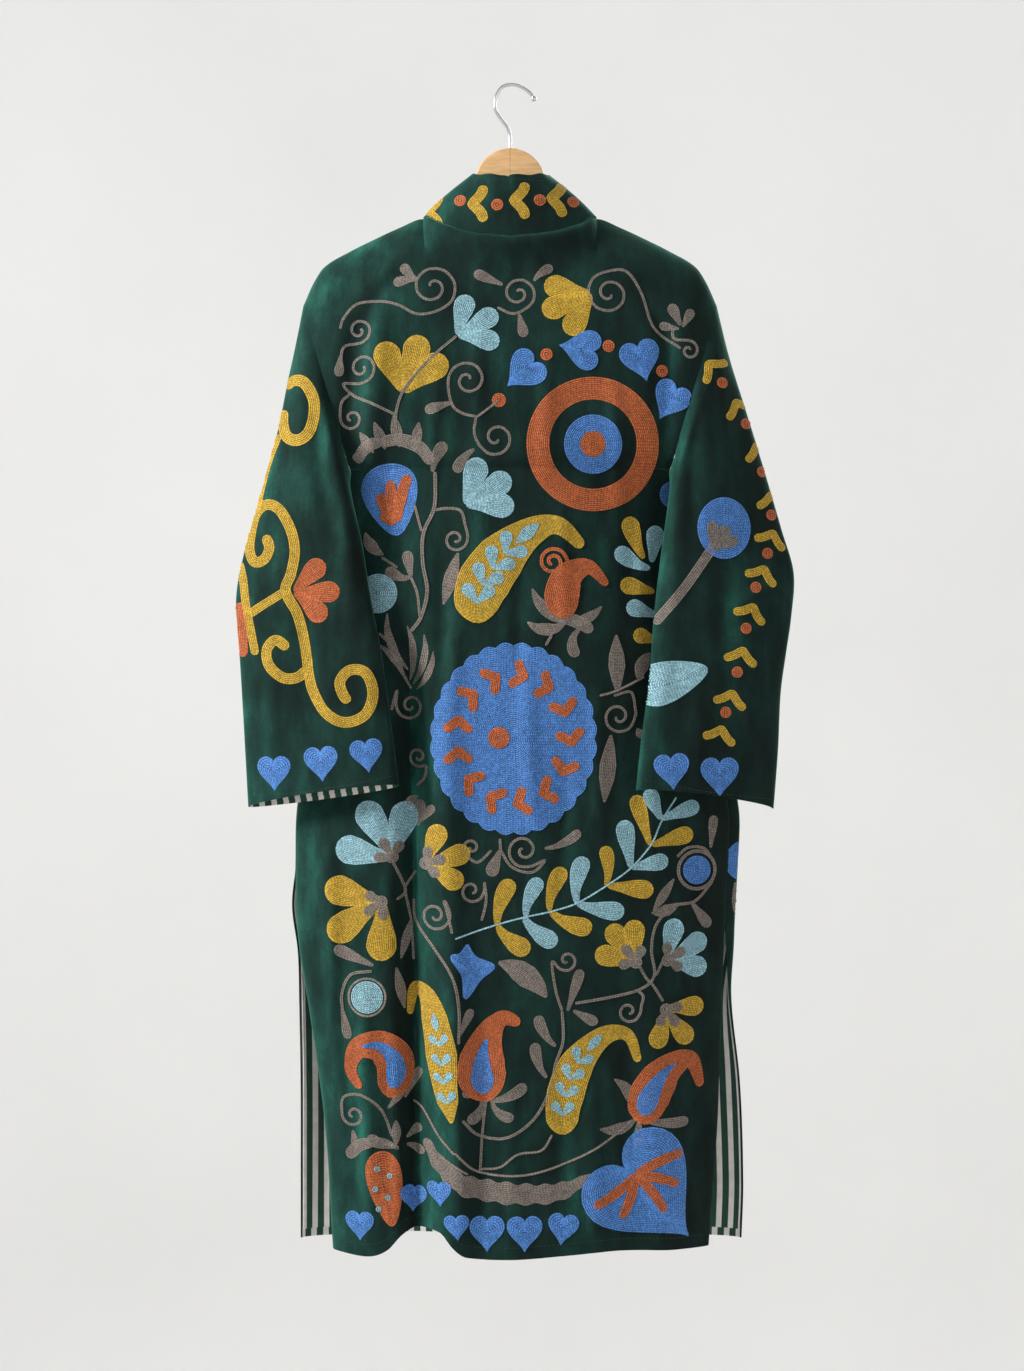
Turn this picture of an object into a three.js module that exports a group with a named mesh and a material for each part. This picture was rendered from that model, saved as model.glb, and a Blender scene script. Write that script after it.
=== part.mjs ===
// A long velvet jacket on a wooden hanger, hung flat and seen from its back.
// Millimetres, +Z up. The origin is the inner crown of the hanger's hook.
// The back of the jacket faces -Y and its fronts face +Y. The left of the
// back view is -X.

import * as THREE from 'three';
import { mergeVertices } from 'three/addons/utils/BufferGeometryUtils.js';

// ---------------------------------------------------------------- sizes ----

const VELVET_WALL = 2.0;          // velvet with its backing
const COLLAR_WALL = 2.6;          // two layers of velvet, stiffened
const LINING_WALL = 1.0;
const SEAM_GAP = 0.95;            // mid walls from their seam, which leaves 0.3 mm at the corners
const LINING_GAP = 0.8;           // between a lining and the cloth it backs

const NECK_X = 96;                // half width of the neckline
const NECK_BACK_Y = -47;
const NECK_FRONT_Y = 46;
const NECK_BACK_Z = -177;         // middle of the back neckline
const NECK_FRONT_Z = -214;        // top of the front edges
const SHOULDER_TIP_X = 207;       // end of the hanger under the cloth
const DROP_X = 230;               // where the sleeve is sewn on, past the tip
const DROP_Z = -246;
const ARMPIT_X = 177;
const ARMPIT_Y = -16;
const ARMPIT_Z = -430;
const ARMHOLE_DEPTH = 32;         // half depth of the armhole ring
const ARMHOLE_GAP = 1.2;          // the sleeve's first ring stands off the body
const UNDERARM_DROP = { out: 3, y: -7, z: -5 };   // of the sleeve's ring from the armpit
const HEM_Z = -1292;
const SLIT_Z = -876;              // top of both side slits
const HEM_LIFT_POWER = 3;         // how fast the hem's rise fades upwards

// The shoulder and neck line, from the middle of the neck to the armhole.
const SHOULDER_LINE = [
  { x: 0, z: NECK_BACK_Z }, { x: 46, z: -171 }, { x: 78, z: -159 }, { x: NECK_X, z: -149 },
  { x: 123, z: -159 }, { x: 151, z: -172 }, { x: 179, z: -186 }, { x: SHOULDER_TIP_X, z: -203 },
  { x: 219, z: -221 }, { x: DROP_X, z: DROP_Z },
];

// The yoke, from its top edge (v = 0) to the armpit (v = 1).
// bulge is how far the middle stands out from the armhole's edge, and
// roundness is the power of the section's curve.
const YOKE = [
  { v: 0.0, bulgeBack: 0, bulgeFront: 0, roundness: 1.0 },
  { v: 0.25, bulgeBack: 12, bulgeFront: 12, roundness: 1.0 },
  { v: 0.5, bulgeBack: 16, bulgeFront: 12, roundness: 0.95 },
  { v: 0.75, bulgeBack: 22, bulgeFront: 26, roundness: 0.9 },
  { v: 1.0, bulgeBack: 34, bulgeFront: 52, roundness: 0.85 },
];

// The body below the armpit. left and right are the side seams, and round is
// the power of the section's curve. wrapLeft and wrapRight are the degrees by
// which a front turns past the widest point of the body to reach its seam.
const BODY = [
  { z: -430, left: -177, right: 177, seamY: -16, bulgeBack: 34, bulgeFront: 52, round: 0.85, wrapLeft: 0, wrapRight: 0 },
  { z: -450, left: -179, right: 179, seamY: -4, bulgeBack: 45, bulgeFront: 40, round: 0.8, wrapLeft: 0, wrapRight: 0 },
  { z: -480, left: -184, right: 184, seamY: 4, bulgeBack: 52, bulgeFront: 33, round: 0.7, wrapLeft: 1, wrapRight: 2 },
  { z: -560, left: -197, right: 198, seamY: 7, bulgeBack: 56, bulgeFront: 34, round: 0.6, wrapLeft: 2, wrapRight: 8 },
  { z: -680, left: -217, right: 221, seamY: 4, bulgeBack: 56, bulgeFront: 36, round: 0.5, wrapLeft: 3, wrapRight: 14 },
  { z: -805, left: -237, right: 243, seamY: 1, bulgeBack: 56, bulgeFront: 40, round: 0.5, wrapLeft: 3, wrapRight: 18 },
  { z: -876, left: -239, right: 242, seamY: 0, bulgeBack: 56, bulgeFront: 42, round: 0.5, wrapLeft: 3, wrapRight: 18 },
];

// The back below the slits.
const BACK_SLIT = [
  { z: -876, left: -239, right: 242, seamY: 0, bulgeBack: 56, round: 0.5 },
  { z: -954, left: -235, right: 238, seamY: -5, bulgeBack: 54, round: 0.5 },
  { z: -1041, left: -221, right: 234, seamY: -8, bulgeBack: 52, round: 0.5 },
  { z: -1157, left: -205, right: 230, seamY: -10, bulgeBack: 52, round: 0.5 },
  { z: -1292, left: -196, right: 220, seamY: -12, bulgeBack: 52, round: 0.5 },
];

// The fronts below the slits.
const FRONT_SLIT = [
  { z: -876, left: -239, right: 242, seamY: 0, bulgeFront: 42, round: 0.5, wrapLeft: 3, wrapRight: 18 },
  { z: -917, left: -243, right: 240, seamY: 4, bulgeFront: 40, round: 0.5, wrapLeft: 3, wrapRight: 18 },
  { z: -968, left: -237, right: 243, seamY: 8, bulgeFront: 38, round: 0.5, wrapLeft: 2, wrapRight: 14 },
  { z: -1025, left: -236, right: 247, seamY: 14, bulgeFront: 34, round: 0.5, wrapLeft: 0, wrapRight: 6 },
  { z: -1116, left: -235, right: 258, seamY: 20, bulgeFront: 30, round: 0.5, wrapLeft: 0, wrapRight: 0 },
  { z: -1229, left: -235, right: 262, seamY: 22, bulgeFront: 30, round: 0.5, wrapLeft: 0, wrapRight: 0 },
  { z: -1292, left: -235, right: 260, seamY: 22, bulgeFront: 30, round: 0.5, wrapLeft: 0, wrapRight: 0 },
];
const WRAP_ROUNDNESS = 0.8;       // of the back beside a fully wrapped front
const FULL_WRAP = 18;             // degrees

// How far the back's hem rises above HEM_Z.
const HEM_RISE = [
  { x: -260, rise: 0 }, { x: -190, rise: -3 }, { x: -154, rise: -5 }, { x: -134, rise: 3 },
  { x: -119, rise: 19 }, { x: -100, rise: 26 }, { x: -76, rise: 25 }, { x: -62, rise: 9 },
  { x: -48, rise: -1 }, { x: 0, rise: -4 }, { x: 60, rise: 0 }, { x: 120, rise: 4 },
  { x: 200, rise: 0 }, { x: 260, rise: 0 },
];

// The largest folds. A fold runs from (x0, z0) down to (x1, z1); width is its
// half width and out is its height away from the body, negative in a valley.
const BACK_FOLDS = [
  { x0: -112, z0: -600, x1: -102, z1: -1330, width: 15, out: -24 },
  { x0: -70, z0: -690, x1: -56, z1: -1330, width: 17, out: 9 },
  { x0: -138, z0: -230, x1: -166, z1: -560, width: 13, out: 6 },
  { x0: -168, z0: -250, x1: -178, z1: -420, width: 12, out: -6 },
  { x0: 176, z0: -240, x1: 166, z1: -440, width: 12, out: -5 },
  { x0: -70, z0: -470, x1: -76, z1: -680, width: 13, out: -4 },
  { x0: -204, z0: -820, x1: -178, z1: -1200, width: 12, out: 6 },
  { x0: 150, z0: -900, x1: 172, z1: -1330, width: 20, out: 5 },
];
const FRONT_FOLDS = [
  { x0: -96, z0: -520, x1: -112, z1: -1330, width: 20, out: 9 },
  { x0: -160, z0: -700, x1: -176, z1: -1330, width: 17, out: -7 },
  { x0: -46, z0: -760, x1: -50, z1: -1330, width: 18, out: -8 },
  { x0: 88, z0: -560, x1: 104, z1: -1330, width: 19, out: 9 },
  { x0: 142, z0: -800, x1: 160, z1: -1330, width: 17, out: -8 },
  { x0: 40, z0: -900, x1: 42, z1: -1330, width: 16, out: -5 },
];
const FOLD_FADE = 70;             // a fold rises over this length at its ends

// Sleeves: the outer edge from the shoulder, and the inner edge from the armpit.
const SLEEVES = {
  sleeve_left: {
    side: -1,
    outer: [
      { x: 230, y: 0, z: -246 }, { x: 238, y: -8, z: -291 }, { x: 246, y: -12, z: -330 },
      { x: 257, y: -15, z: -386 }, { x: 269, y: -15, z: -431 }, { x: 281, y: -15, z: -475 },
      { x: 295, y: -17, z: -525 }, { x: 303, y: -19, z: -572 }, { x: 300, y: -21, z: -620 },
      { x: 297, y: -23, z: -664 }, { x: 293, y: -24, z: -731 }, { x: 289, y: -24, z: -804 },
    ],
    inner: [
      { x: 177, y: -16, z: -430 }, { x: 177, y: -34, z: -452 }, { x: 164, y: -43, z: -511 },
      { x: 153, y: -51, z: -577 }, { x: 142, y: -57, z: -631 }, { x: 131, y: -63, z: -708 },
      { x: 122, y: -67, z: -779 },
    ],
  },
  sleeve_right: {
    side: 1,
    outer: [
      { x: 230, y: 0, z: -246 }, { x: 243, y: -8, z: -303 }, { x: 258, y: -12, z: -353 },
      { x: 272, y: -15, z: -399 }, { x: 287, y: -15, z: -449 }, { x: 301, y: -15, z: -497 },
      { x: 314, y: -18, z: -545 }, { x: 311, y: -20, z: -594 }, { x: 305, y: -22, z: -634 },
      { x: 299, y: -23, z: -678 }, { x: 296, y: -24, z: -740 }, { x: 291, y: -24, z: -806 },
    ],
    inner: [
      { x: 177, y: -16, z: -430 }, { x: 177, y: -34, z: -452 }, { x: 166, y: -44, z: -533 },
      { x: 158, y: -52, z: -599 }, { x: 153, y: -57, z: -664 }, { x: 144, y: -63, z: -730 },
      { x: 138, y: -67, z: -784 },
    ],
  },
};

// Half depths of the sleeve towards the viewer's side (near) and the body's
// (far), how much the far side flattens at the inner edge, and the cuff's tilt.
const SLEEVE_SECTION = [
  { t: 0.0, near: 32, far: 32, flatten: 0.0, tilt: 0 },
  { t: 0.04, near: 31, far: 27, flatten: 0.85, tilt: 0 },
  { t: 0.12, near: 27, far: 22, flatten: 0.85, tilt: 0 },
  { t: 0.3, near: 21, far: 17, flatten: 0.85, tilt: 0 },
  { t: 0.55, near: 18, far: 13, flatten: 0.85, tilt: 0 },
  { t: 0.85, near: 17, far: 11, flatten: 0.8, tilt: 2 },
  { t: 1.0, near: 17, far: 11, flatten: 0.8, tilt: 6 },
];
const SLEEVE_COLUMNS = 20;
const SLEEVE_STATIONS = [0, 0.035, 0.075, 0.12, 0.18, 0.25, 0.32, 0.4, 0.48, 0.54, 0.6, 0.67, 0.75, 0.83, 0.9, 0.95, 1];
const CUFF_LINING_ROWS = 3;       // the last spans of the sleeve that are lined

// Stations across the body, as shares of its half width. They are closer
// where the folds are. The fronts start at their open edges.
const BACK_STATIONS = [
  -1, -0.98, -0.94, -0.9, -0.84, -0.77, -0.7, -0.63, -0.57, -0.51, -0.46, -0.417, -0.37,
  -0.32, -0.27, -0.22, -0.12, 0, 0.12, 0.23, 0.33, 0.417, 0.5, 0.58, 0.66, 0.74, 0.82, 0.9,
  0.94, 0.98, 1,
];
const FRONT_STATIONS = [0.03, 0.13, 0.22, 0.32, 0.417, 0.5, 0.58, 0.66, 0.74, 0.82, 0.9, 0.96, 1];
const YOKE_STATIONS = [0, 0.04, 0.1, 0.18, 0.28, 0.4, 0.52, 0.64, 0.76, 0.88, 1];
const BODY_ROWS = 17;             // below the armpit

// Stand collar: the angle runs from the middle of the back round to the front.
const COLLAR_TOP_X = 43;
const COLLAR_TOP_BACK_Y = -31;
const COLLAR_TOP_FRONT_Y = 30;
const COLLAR_TOP_BACK_Z = -106;
const COLLAR_TOP_FRONT_Z = -158;
const COLLAR_BULGE = 3;
const COLLAR_END_ANGLE = 175.5;   // degrees, at each front edge
const COLLAR_COLUMNS = 30;
const COLLAR_ROWS = 4;
const COLLAR_SEAM = 2.2;          // the collar's foot above the neckline's mid wall
const COLLAR_SIDE_Z = -101;       // its top edge over the shoulders

// Hanger.
const WOOD_THICKNESS = 12;
const WOOD_BEVEL = 2;
const ARCH_RADIUS = 39;
const ARCH_TOP_Z = -70;
const ARM_UNDER_CLOTH = 3.6;      // the arm's top edge below the shoulder line
const ARM_END_X = 192;
const ARM_HEIGHT_MIDDLE = 46;
const ARM_HEIGHT_END = 20;
const WIRE_RADIUS = 2;
const HOOK_END_BALL_RADIUS = 3.2;

// ------------------------------------------------------------- materials ---

const velvet = new THREE.MeshStandardMaterial({ color: 0x1b4a3c, roughness: 0.85, metalness: 0 });
const stripe = new THREE.MeshStandardMaterial({ color: 0x8fa096, roughness: 0.8, metalness: 0 });
const wood = new THREE.MeshStandardMaterial({ color: 0xc9a26d, roughness: 0.5, metalness: 0 });
const steel = new THREE.MeshStandardMaterial({ color: 0xc8ccd0, roughness: 0.2, metalness: 1 });

// ------------------------------------------------------------ arithmetic ---

const lerp = (a, b, t) => a + (b - a) * t;
const clamp01 = (t) => Math.min(1, Math.max(0, t));
const ease = (t) => clamp01(t) ** 2 * (3 - 2 * clamp01(t));

// A smooth curve through a table's rows: the value of column at key = at.
// The rows may run up or down in key.
function along(rows, key, column, at) {
  const up = rows[rows.length - 1][key] > rows[0][key] ? 1 : -1;
  const last = rows.length - 1;
  if ((at - rows[0][key]) * up <= 0) return rows[0][column];
  if ((at - rows[last][key]) * up >= 0) return rows[last][column];
  let i = 0;
  while ((at - rows[i + 1][key]) * up > 0) i += 1;
  const slope = (j) => {
    const a = Math.max(0, j - 1);
    const b = Math.min(last, j + 1);
    return (rows[b][column] - rows[a][column]) / (rows[b][key] - rows[a][key]);
  };
  const span = rows[i + 1][key] - rows[i][key];
  const t = (at - rows[i][key]) / span;
  const h = [2 * t ** 3 - 3 * t ** 2 + 1, t ** 3 - 2 * t ** 2 + t, 3 * t ** 2 - 2 * t ** 3, t ** 3 - t ** 2];
  return h[0] * rows[i][column] + h[1] * span * slope(i) + h[2] * rows[i + 1][column] + h[3] * span * slope(i + 1);
}

// A table of points turned into a table of shares of its own length.
function byLength(points) {
  let run = 0;
  const rows = points.map((p, i) => {
    if (i > 0) run += Math.hypot(p.x - points[i - 1].x, p.y - points[i - 1].y, p.z - points[i - 1].z);
    return { ...p, run };
  });
  return rows.map((row) => ({ ...row, t: row.run / run }));
}

// ------------------------------------------------------------ cloth walls --

// The face normals of a grid of mid-surface points, rows of equal length.
// closed joins the last column to the first, as round a tube. outward gives
// roughly the direction of the cloth's face near a point of a row.
function normalsOf(grid, outward, closed = false) {
  const rows = grid.length;
  const cols = grid[0].length;
  const normals = grid.map((line, r) => line.map((point, c) => {
    const left = line[closed ? (c + cols - 1) % cols : Math.max(0, c - 1)];
    const right = line[closed ? (c + 1) % cols : Math.min(cols - 1, c + 1)];
    const above = grid[Math.max(0, r - 1)][c];
    const below = grid[Math.min(rows - 1, r + 1)][c];
    return new THREE.Vector3().subVectors(right, left)
      .cross(new THREE.Vector3().subVectors(below, above)).normalize();
  }));
  let agreement = 0;
  grid.forEach((line, r) => line.forEach((point, c) => {
    agreement += normals[r][c].dot(outward(point, r));
  }));
  if (agreement < 0) normals.flat().forEach((normal) => normal.negate());
  return normals;
}

// A closed wall whose face and back lie at two offsets from the grid.
function clothWall({ grid, normals, closed = false }, faceOffset, backOffset) {
  const rows = grid.length;
  const cols = grid[0].length;
  const positions = [];
  const layer = (offset) => {
    const start = positions.length / 3;
    grid.forEach((line, r) => line.forEach((point, c) => {
      const p = point.clone().addScaledVector(normals[r][c], offset);
      positions.push(p.x, p.y, p.z);
    }));
    return (r, c) => start + r * cols + (closed ? (c + cols) % cols : c);
  };
  const face = layer(faceOffset);
  const back = layer(backOffset);
  const index = [];
  const quad = (a, b, c, d) => index.push(a, b, c, a, c, d);
  const spans = closed ? cols : cols - 1;
  for (let r = 0; r < rows - 1; r += 1) {
    for (let c = 0; c < spans; c += 1) {
      quad(face(r, c), face(r + 1, c), face(r + 1, c + 1), face(r, c + 1));
      quad(back(r, c), back(r, c + 1), back(r + 1, c + 1), back(r + 1, c));
    }
  }
  for (let c = 0; c < spans; c += 1) {
    quad(face(0, c), face(0, c + 1), back(0, c + 1), back(0, c));
    quad(face(rows - 1, c), back(rows - 1, c), back(rows - 1, c + 1), face(rows - 1, c + 1));
  }
  if (!closed) {
    for (let r = 0; r < rows - 1; r += 1) {
      quad(face(r, 0), back(r, 0), back(r + 1, 0), face(r + 1, 0));
      quad(face(r, cols - 1), face(r + 1, cols - 1), back(r + 1, cols - 1), back(r, cols - 1));
    }
  }
  return facingOut(positions, index);
}

// Part of a sheet, from one row and column to another. A whole number is a
// line of the grid, and a fraction lies between two lines, on the same facet.
function partOf(sheet, rowsWanted, columnsWanted) {
  const steps = (from, to) => {
    const list = [from];
    for (let i = Math.floor(from) + 1; i < to; i += 1) list.push(i);
    return [...list, to];
  };
  const between = (field, r, c) => {
    const r0 = Math.floor(r);
    const c0 = Math.floor(c);
    const r1 = Math.min(r0 + 1, field.length - 1);
    const c1 = Math.min(c0 + 1, field[0].length - 1);
    const upper = field[r0][c0].clone().lerp(field[r0][c1], c - c0);
    const lower = field[r1][c0].clone().lerp(field[r1][c1], c - c0);
    return upper.lerp(lower, r - r0);
  };
  const columns = columnsWanted ? steps(...columnsWanted) : sheet.grid[0].map((_, c) => c);
  const rows = steps(...rowsWanted);
  const take = (field) => rows.map((r) => columns.map((c) => between(field, r, c)));
  return { grid: take(sheet.grid), normals: take(sheet.normals), closed: sheet.closed };
}

// Turns the triangles over if they enclose a negative volume.
function facingOut(positions, index) {
  const p = (i) => new THREE.Vector3().fromArray(positions, 3 * i);
  let volume = 0;
  for (let i = 0; i < index.length; i += 3) {
    volume += p(index[i]).dot(p(index[i + 1]).cross(p(index[i + 2])));
  }
  if (volume < 0) {
    for (let i = 0; i < index.length; i += 3) {
      [index[i + 1], index[i + 2]] = [index[i + 2], index[i + 1]];
    }
  }
  const geometry = new THREE.BufferGeometry();
  geometry.setAttribute('position', new THREE.Float32BufferAttribute(positions, 3));
  geometry.setIndex(index);
  geometry.computeVertexNormals();
  return geometry;
}

// ------------------------------------------------------------ the body ----

const radians = (degrees) => degrees * Math.PI / 180;

// The armhole, a ring from the shoulder (share 0) to the armpit (share 1).
// side is -1 or 1, and layer is -1 for its back half and 1 for its front half.
function armhole(side, layer, share) {
  const t = (1 - Math.cos(Math.PI * share)) / 2;
  return new THREE.Vector3(
    side * lerp(DROP_X, ARMPIT_X, t),
    ARMPIT_Y * t + layer * ARMHOLE_DEPTH * Math.sin(Math.PI * share),
    lerp(DROP_Z, ARMPIT_Z, t),
  );
}

// The ridge of two panels that meet along the shoulder stands this far apart.
const RIDGE_GAP = 1.0;

// Height of the front neckline at x.
function frontNeckZ(x) {
  const shoulder = along(SHOULDER_LINE, 'x', 'z', NECK_X);
  return lerp(NECK_FRONT_Z, shoulder, clamp01(x / NECK_X) ** 1.6);
}

// A point of the yoke. s runs from -1 to 1 across it and v from its top edge
// to the armpit. layer is -1 for the back and 1 for the front.
function yokePoint(s, v, layer) {
  const edge = armhole(Math.sign(s) || 1, layer, v);
  const x = Math.abs(s) * Math.abs(edge.x) * (Math.sign(s) || 1);
  const topX = Math.abs(s) * DROP_X;
  const inNeck = topX < NECK_X;
  const topZ = inNeck && layer > 0 ? frontNeckZ(topX) : along(SHOULDER_LINE, 'x', 'z', topX);
  const z = edge.z + (topZ - DROP_Z) * (1 - v);
  const bulge = along(YOKE, 'v', layer < 0 ? 'bulgeBack' : 'bulgeFront', v);
  const roundness = along(YOKE, 'v', 'roundness', v);
  const neckDepth = layer < 0 ? NECK_BACK_Y : NECK_FRONT_Y;
  const neck = inNeck ? neckDepth * Math.sqrt(1 - (topX / NECK_X) ** 2) * (1 - ease(v / 0.3)) : 0;
  const gap = lerp(RIDGE_GAP, SEAM_GAP, ease(v / 0.2));
  const y = edge.y + layer * (gap + bulge * (1 - s * s) ** roundness) + neck;
  return new THREE.Vector3(x, y, z);
}

// How far the folds of a table lift the cloth at x and z.
function foldsAt(folds, x, z) {
  return folds.reduce((sum, fold) => {
    const t = (fold.z0 - z) / (fold.z0 - fold.z1);
    const middle = lerp(fold.x0, fold.x1, clamp01(t));
    const start = ease((fold.z0 - z) / FOLD_FADE);
    const end = ease((z - fold.z1) / FOLD_FADE);
    return sum + fold.out * start * end * Math.exp(-(((x - middle) / fold.width) ** 2));
  }, 0);
}

function hemRise(x, share) {
  return along(HEM_RISE, 'x', 'rise', x) * share ** HEM_LIFT_POWER;
}

// A point of the back below the armpit, share 0 to 1 down to the hem.
function backPoint(s, share) {
  const level = lerp(ARMPIT_Z, HEM_Z, share);
  const rows = level >= SLIT_Z ? BODY : BACK_SLIT;
  const value = (column) => along(rows, 'z', column, level);
  const x = lerp(value('left'), value('right'), (1 + s) / 2);
  const wrapped = level >= SLIT_Z ? value('wrapRight') / FULL_WRAP : 1;
  const roundness = lerp(value('round'), WRAP_ROUNDNESS, s > 0 ? wrapped * ease(s) : 0);
  const y = value('seamY') - SEAM_GAP - value('bulgeBack') * (1 - s * s) ** roundness;
  return new THREE.Vector3(x, y, level + hemRise(x, share));
}

// A point of a front below the armpit.
function frontPoint(s, share) {
  const level = lerp(ARMPIT_Z, HEM_Z, share);
  const rows = level >= SLIT_Z ? BODY : FRONT_SLIT;
  const value = (column) => along(rows, 'z', column, level);
  const seam = s < 0 ? value('left') : value('right');
  const wrap = radians(s < 0 ? value('wrapLeft') : value('wrapRight'));
  const angle = Math.asin(Math.abs(s)) * (1 + wrap / (Math.PI / 2));
  const widest = seam / Math.cos(wrap);
  const bulge = value('bulgeFront') / (1 + Math.sin(wrap));
  const height = Math.sign(Math.cos(angle)) * Math.abs(Math.cos(angle)) ** (2 * value('round'));
  const y = value('seamY') + SEAM_GAP + bulge * (Math.sin(wrap) + height);
  return new THREE.Vector3(widest * Math.sin(angle), y, level);
}

// The yoke and the lower body as one sheet of points, top to hem.
function bodySheet(stations, layer, folds) {
  const yokeRows = YOKE_STATIONS.slice(0, -1).map((v) => stations.map((s) => yokePoint(s, v, layer)));
  const lowRows = [];
  for (let r = 0; r <= BODY_ROWS; r += 1) {
    lowRows.push(stations.map((s) => (layer < 0 ? backPoint : frontPoint)(s, r / BODY_ROWS)));
  }
  const grid = [...yokeRows, ...lowRows];
  grid.flat().forEach((point) => {
    point.y += layer * foldsAt(folds, point.x, point.z);
  });
  const normals = normalsOf(grid, () => new THREE.Vector3(0, layer, 0));
  return { grid, normals };
}

// ------------------------------------------------------------- sleeves ----

function sleeveSheet({ side, outer, inner }) {
  const outerRows = byLength(outer);
  const innerRows = byLength(inner);
  const grid = SLEEVE_STATIONS.map((t) => {
    const at = (rows) => new THREE.Vector3(
      side * along(rows, 't', 'x', t), along(rows, 't', 'y', t), along(rows, 't', 'z', t),
    );
    const value = (column) => along(SLEEVE_SECTION, 't', column, t);
    const top = at(outerRows);
    const bottom = at(innerRows);
    const line = [];
    for (let c = 0; c < SLEEVE_COLUMNS; c += 1) {
      const turn = 2 * Math.PI * c / SLEEVE_COLUMNS;
      const point = bottom.clone().lerp(top, (1 + Math.cos(turn)) / 2);
      const far = Math.sin(turn) > 0;
      const pressed = 1 + (far ? value('flatten') * Math.cos(turn) : 0);
      point.y += Math.sin(turn) * pressed * (far ? value('far') : value('near'));
      point.z -= Math.sin(turn) * value('tilt');
      line.push(point);
    }
    return line;
  });
  // The first ring stands off the armhole, square to its line.
  const line = armhole(side, 1, 1).sub(armhole(side, 1, 0)).normalize();
  const away = new THREE.Vector3(-line.z, 0, line.x).multiplyScalar(side * ARMHOLE_GAP);
  grid[0].forEach((point) => {
    const low = ease((DROP_Z - point.z) / (DROP_Z - ARMPIT_Z) * 4 - 3);
    point.add(away);
    point.x += UNDERARM_DROP.out * side * low;
    point.y += UNDERARM_DROP.y * low;
    point.z += UNDERARM_DROP.z * low;
  });
  const centre = grid.map((ring) => ring
    .reduce((sum, point) => sum.add(point), new THREE.Vector3())
    .multiplyScalar(1 / SLEEVE_COLUMNS));
  const normals = normalsOf(grid, (point, r) => new THREE.Vector3().subVectors(point, centre[r]), true);
  return { grid, normals, closed: true };
}

// -------------------------------------------------------------- collar ----

function collarSheet() {
  const grid = [];
  for (let r = 0; r <= COLLAR_ROWS; r += 1) {
    const up = r / COLLAR_ROWS;
    const line = [];
    for (let c = 0; c <= COLLAR_COLUMNS; c += 1) {
      const angle = radians(lerp(-COLLAR_END_ANGLE, COLLAR_END_ANGLE, c / COLLAR_COLUMNS));
      const front = Math.cos(angle) < 0;
      const share = Math.abs(Math.sin(angle));
      const footX = NECK_X * share;
      const footZ = front ? frontNeckZ(footX) : along(SHOULDER_LINE, 'x', 'z', footX);
      const footY = Math.abs(Math.cos(angle)) * (front ? NECK_FRONT_Y : NECK_BACK_Y);
      const topY = Math.abs(Math.cos(angle)) * (front ? COLLAR_TOP_FRONT_Y : COLLAR_TOP_BACK_Y);
      const topZ = lerp(front ? COLLAR_TOP_FRONT_Z : COLLAR_TOP_BACK_Z, COLLAR_SIDE_Z, share ** 2);
      const bulge = COLLAR_BULGE * Math.sin(Math.PI * up);
      line.push(new THREE.Vector3(
        Math.sin(angle) * (lerp(NECK_X, COLLAR_TOP_X, up) + bulge),
        lerp(footY, topY, up) - Math.cos(angle) * bulge,
        lerp(footZ + COLLAR_SEAM, topZ, up),
      ));
    }
    grid.unshift(line);
  }
  const normals = normalsOf(grid, (point) => new THREE.Vector3(point.x, point.y, 0));
  return { grid, normals };
}

// ----------------------------------------------------- hanger and hook ----

function hangerGeometry() {
  const tipZ = along(SHOULDER_LINE, 'x', 'z', SHOULDER_TIP_X);
  const neckZ = along(SHOULDER_LINE, 'x', 'z', NECK_X);
  const slope = (tipZ - neckZ) / (SHOULDER_TIP_X - NECK_X);
  const armTop = (x) => neckZ - ARM_UNDER_CLOTH + (x - NECK_X) * slope;
  const archZ = ARCH_TOP_Z - ARCH_RADIUS;
  const end = ARM_HEIGHT_END / 2;
  const endX = ARM_END_X - end;
  const middleZ = armTop(0) - ARM_HEIGHT_MIDDLE;
  const outline = new THREE.Shape();
  outline.moveTo(-ARCH_RADIUS, archZ);
  outline.absarc(0, archZ, ARCH_RADIUS, Math.PI, 0, true);
  outline.quadraticCurveTo(ARCH_RADIUS, armTop(ARCH_RADIUS), ARCH_RADIUS * 1.5, armTop(ARCH_RADIUS * 1.5));
  outline.lineTo(endX, armTop(endX));
  outline.absarc(endX, armTop(endX) - end, end, Math.PI / 2, -Math.PI / 2, true);
  outline.quadraticCurveTo(endX / 2, armTop(endX / 2) - ARM_HEIGHT_MIDDLE * 0.75, 0, middleZ);
  outline.quadraticCurveTo(-endX / 2, armTop(endX / 2) - ARM_HEIGHT_MIDDLE * 0.75, -endX, armTop(endX) - 2 * end);
  outline.absarc(-endX, armTop(endX) - end, end, -Math.PI / 2, Math.PI / 2, true);
  outline.lineTo(-ARCH_RADIUS * 1.5, armTop(ARCH_RADIUS * 1.5));
  outline.quadraticCurveTo(-ARCH_RADIUS, armTop(ARCH_RADIUS), -ARCH_RADIUS, archZ);
  const geometry = new THREE.ExtrudeGeometry(outline, {
    depth: WOOD_THICKNESS - 2 * WOOD_BEVEL,
    bevelThickness: WOOD_BEVEL,
    bevelSize: WOOD_BEVEL,
    bevelOffset: -WOOD_BEVEL,
    bevelSegments: 1,
    curveSegments: 10,
  });
  geometry.translate(0, 0, -WOOD_THICKNESS / 2 + WOOD_BEVEL);
  geometry.rotateX(Math.PI / 2);
  return welded(geometry);
}

function welded(geometry) {
  geometry.deleteAttribute('normal');
  geometry.deleteAttribute('uv');
  const merged = mergeVertices(geometry, 1e-4);
  merged.computeVertexNormals();
  return merged;
}

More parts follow.
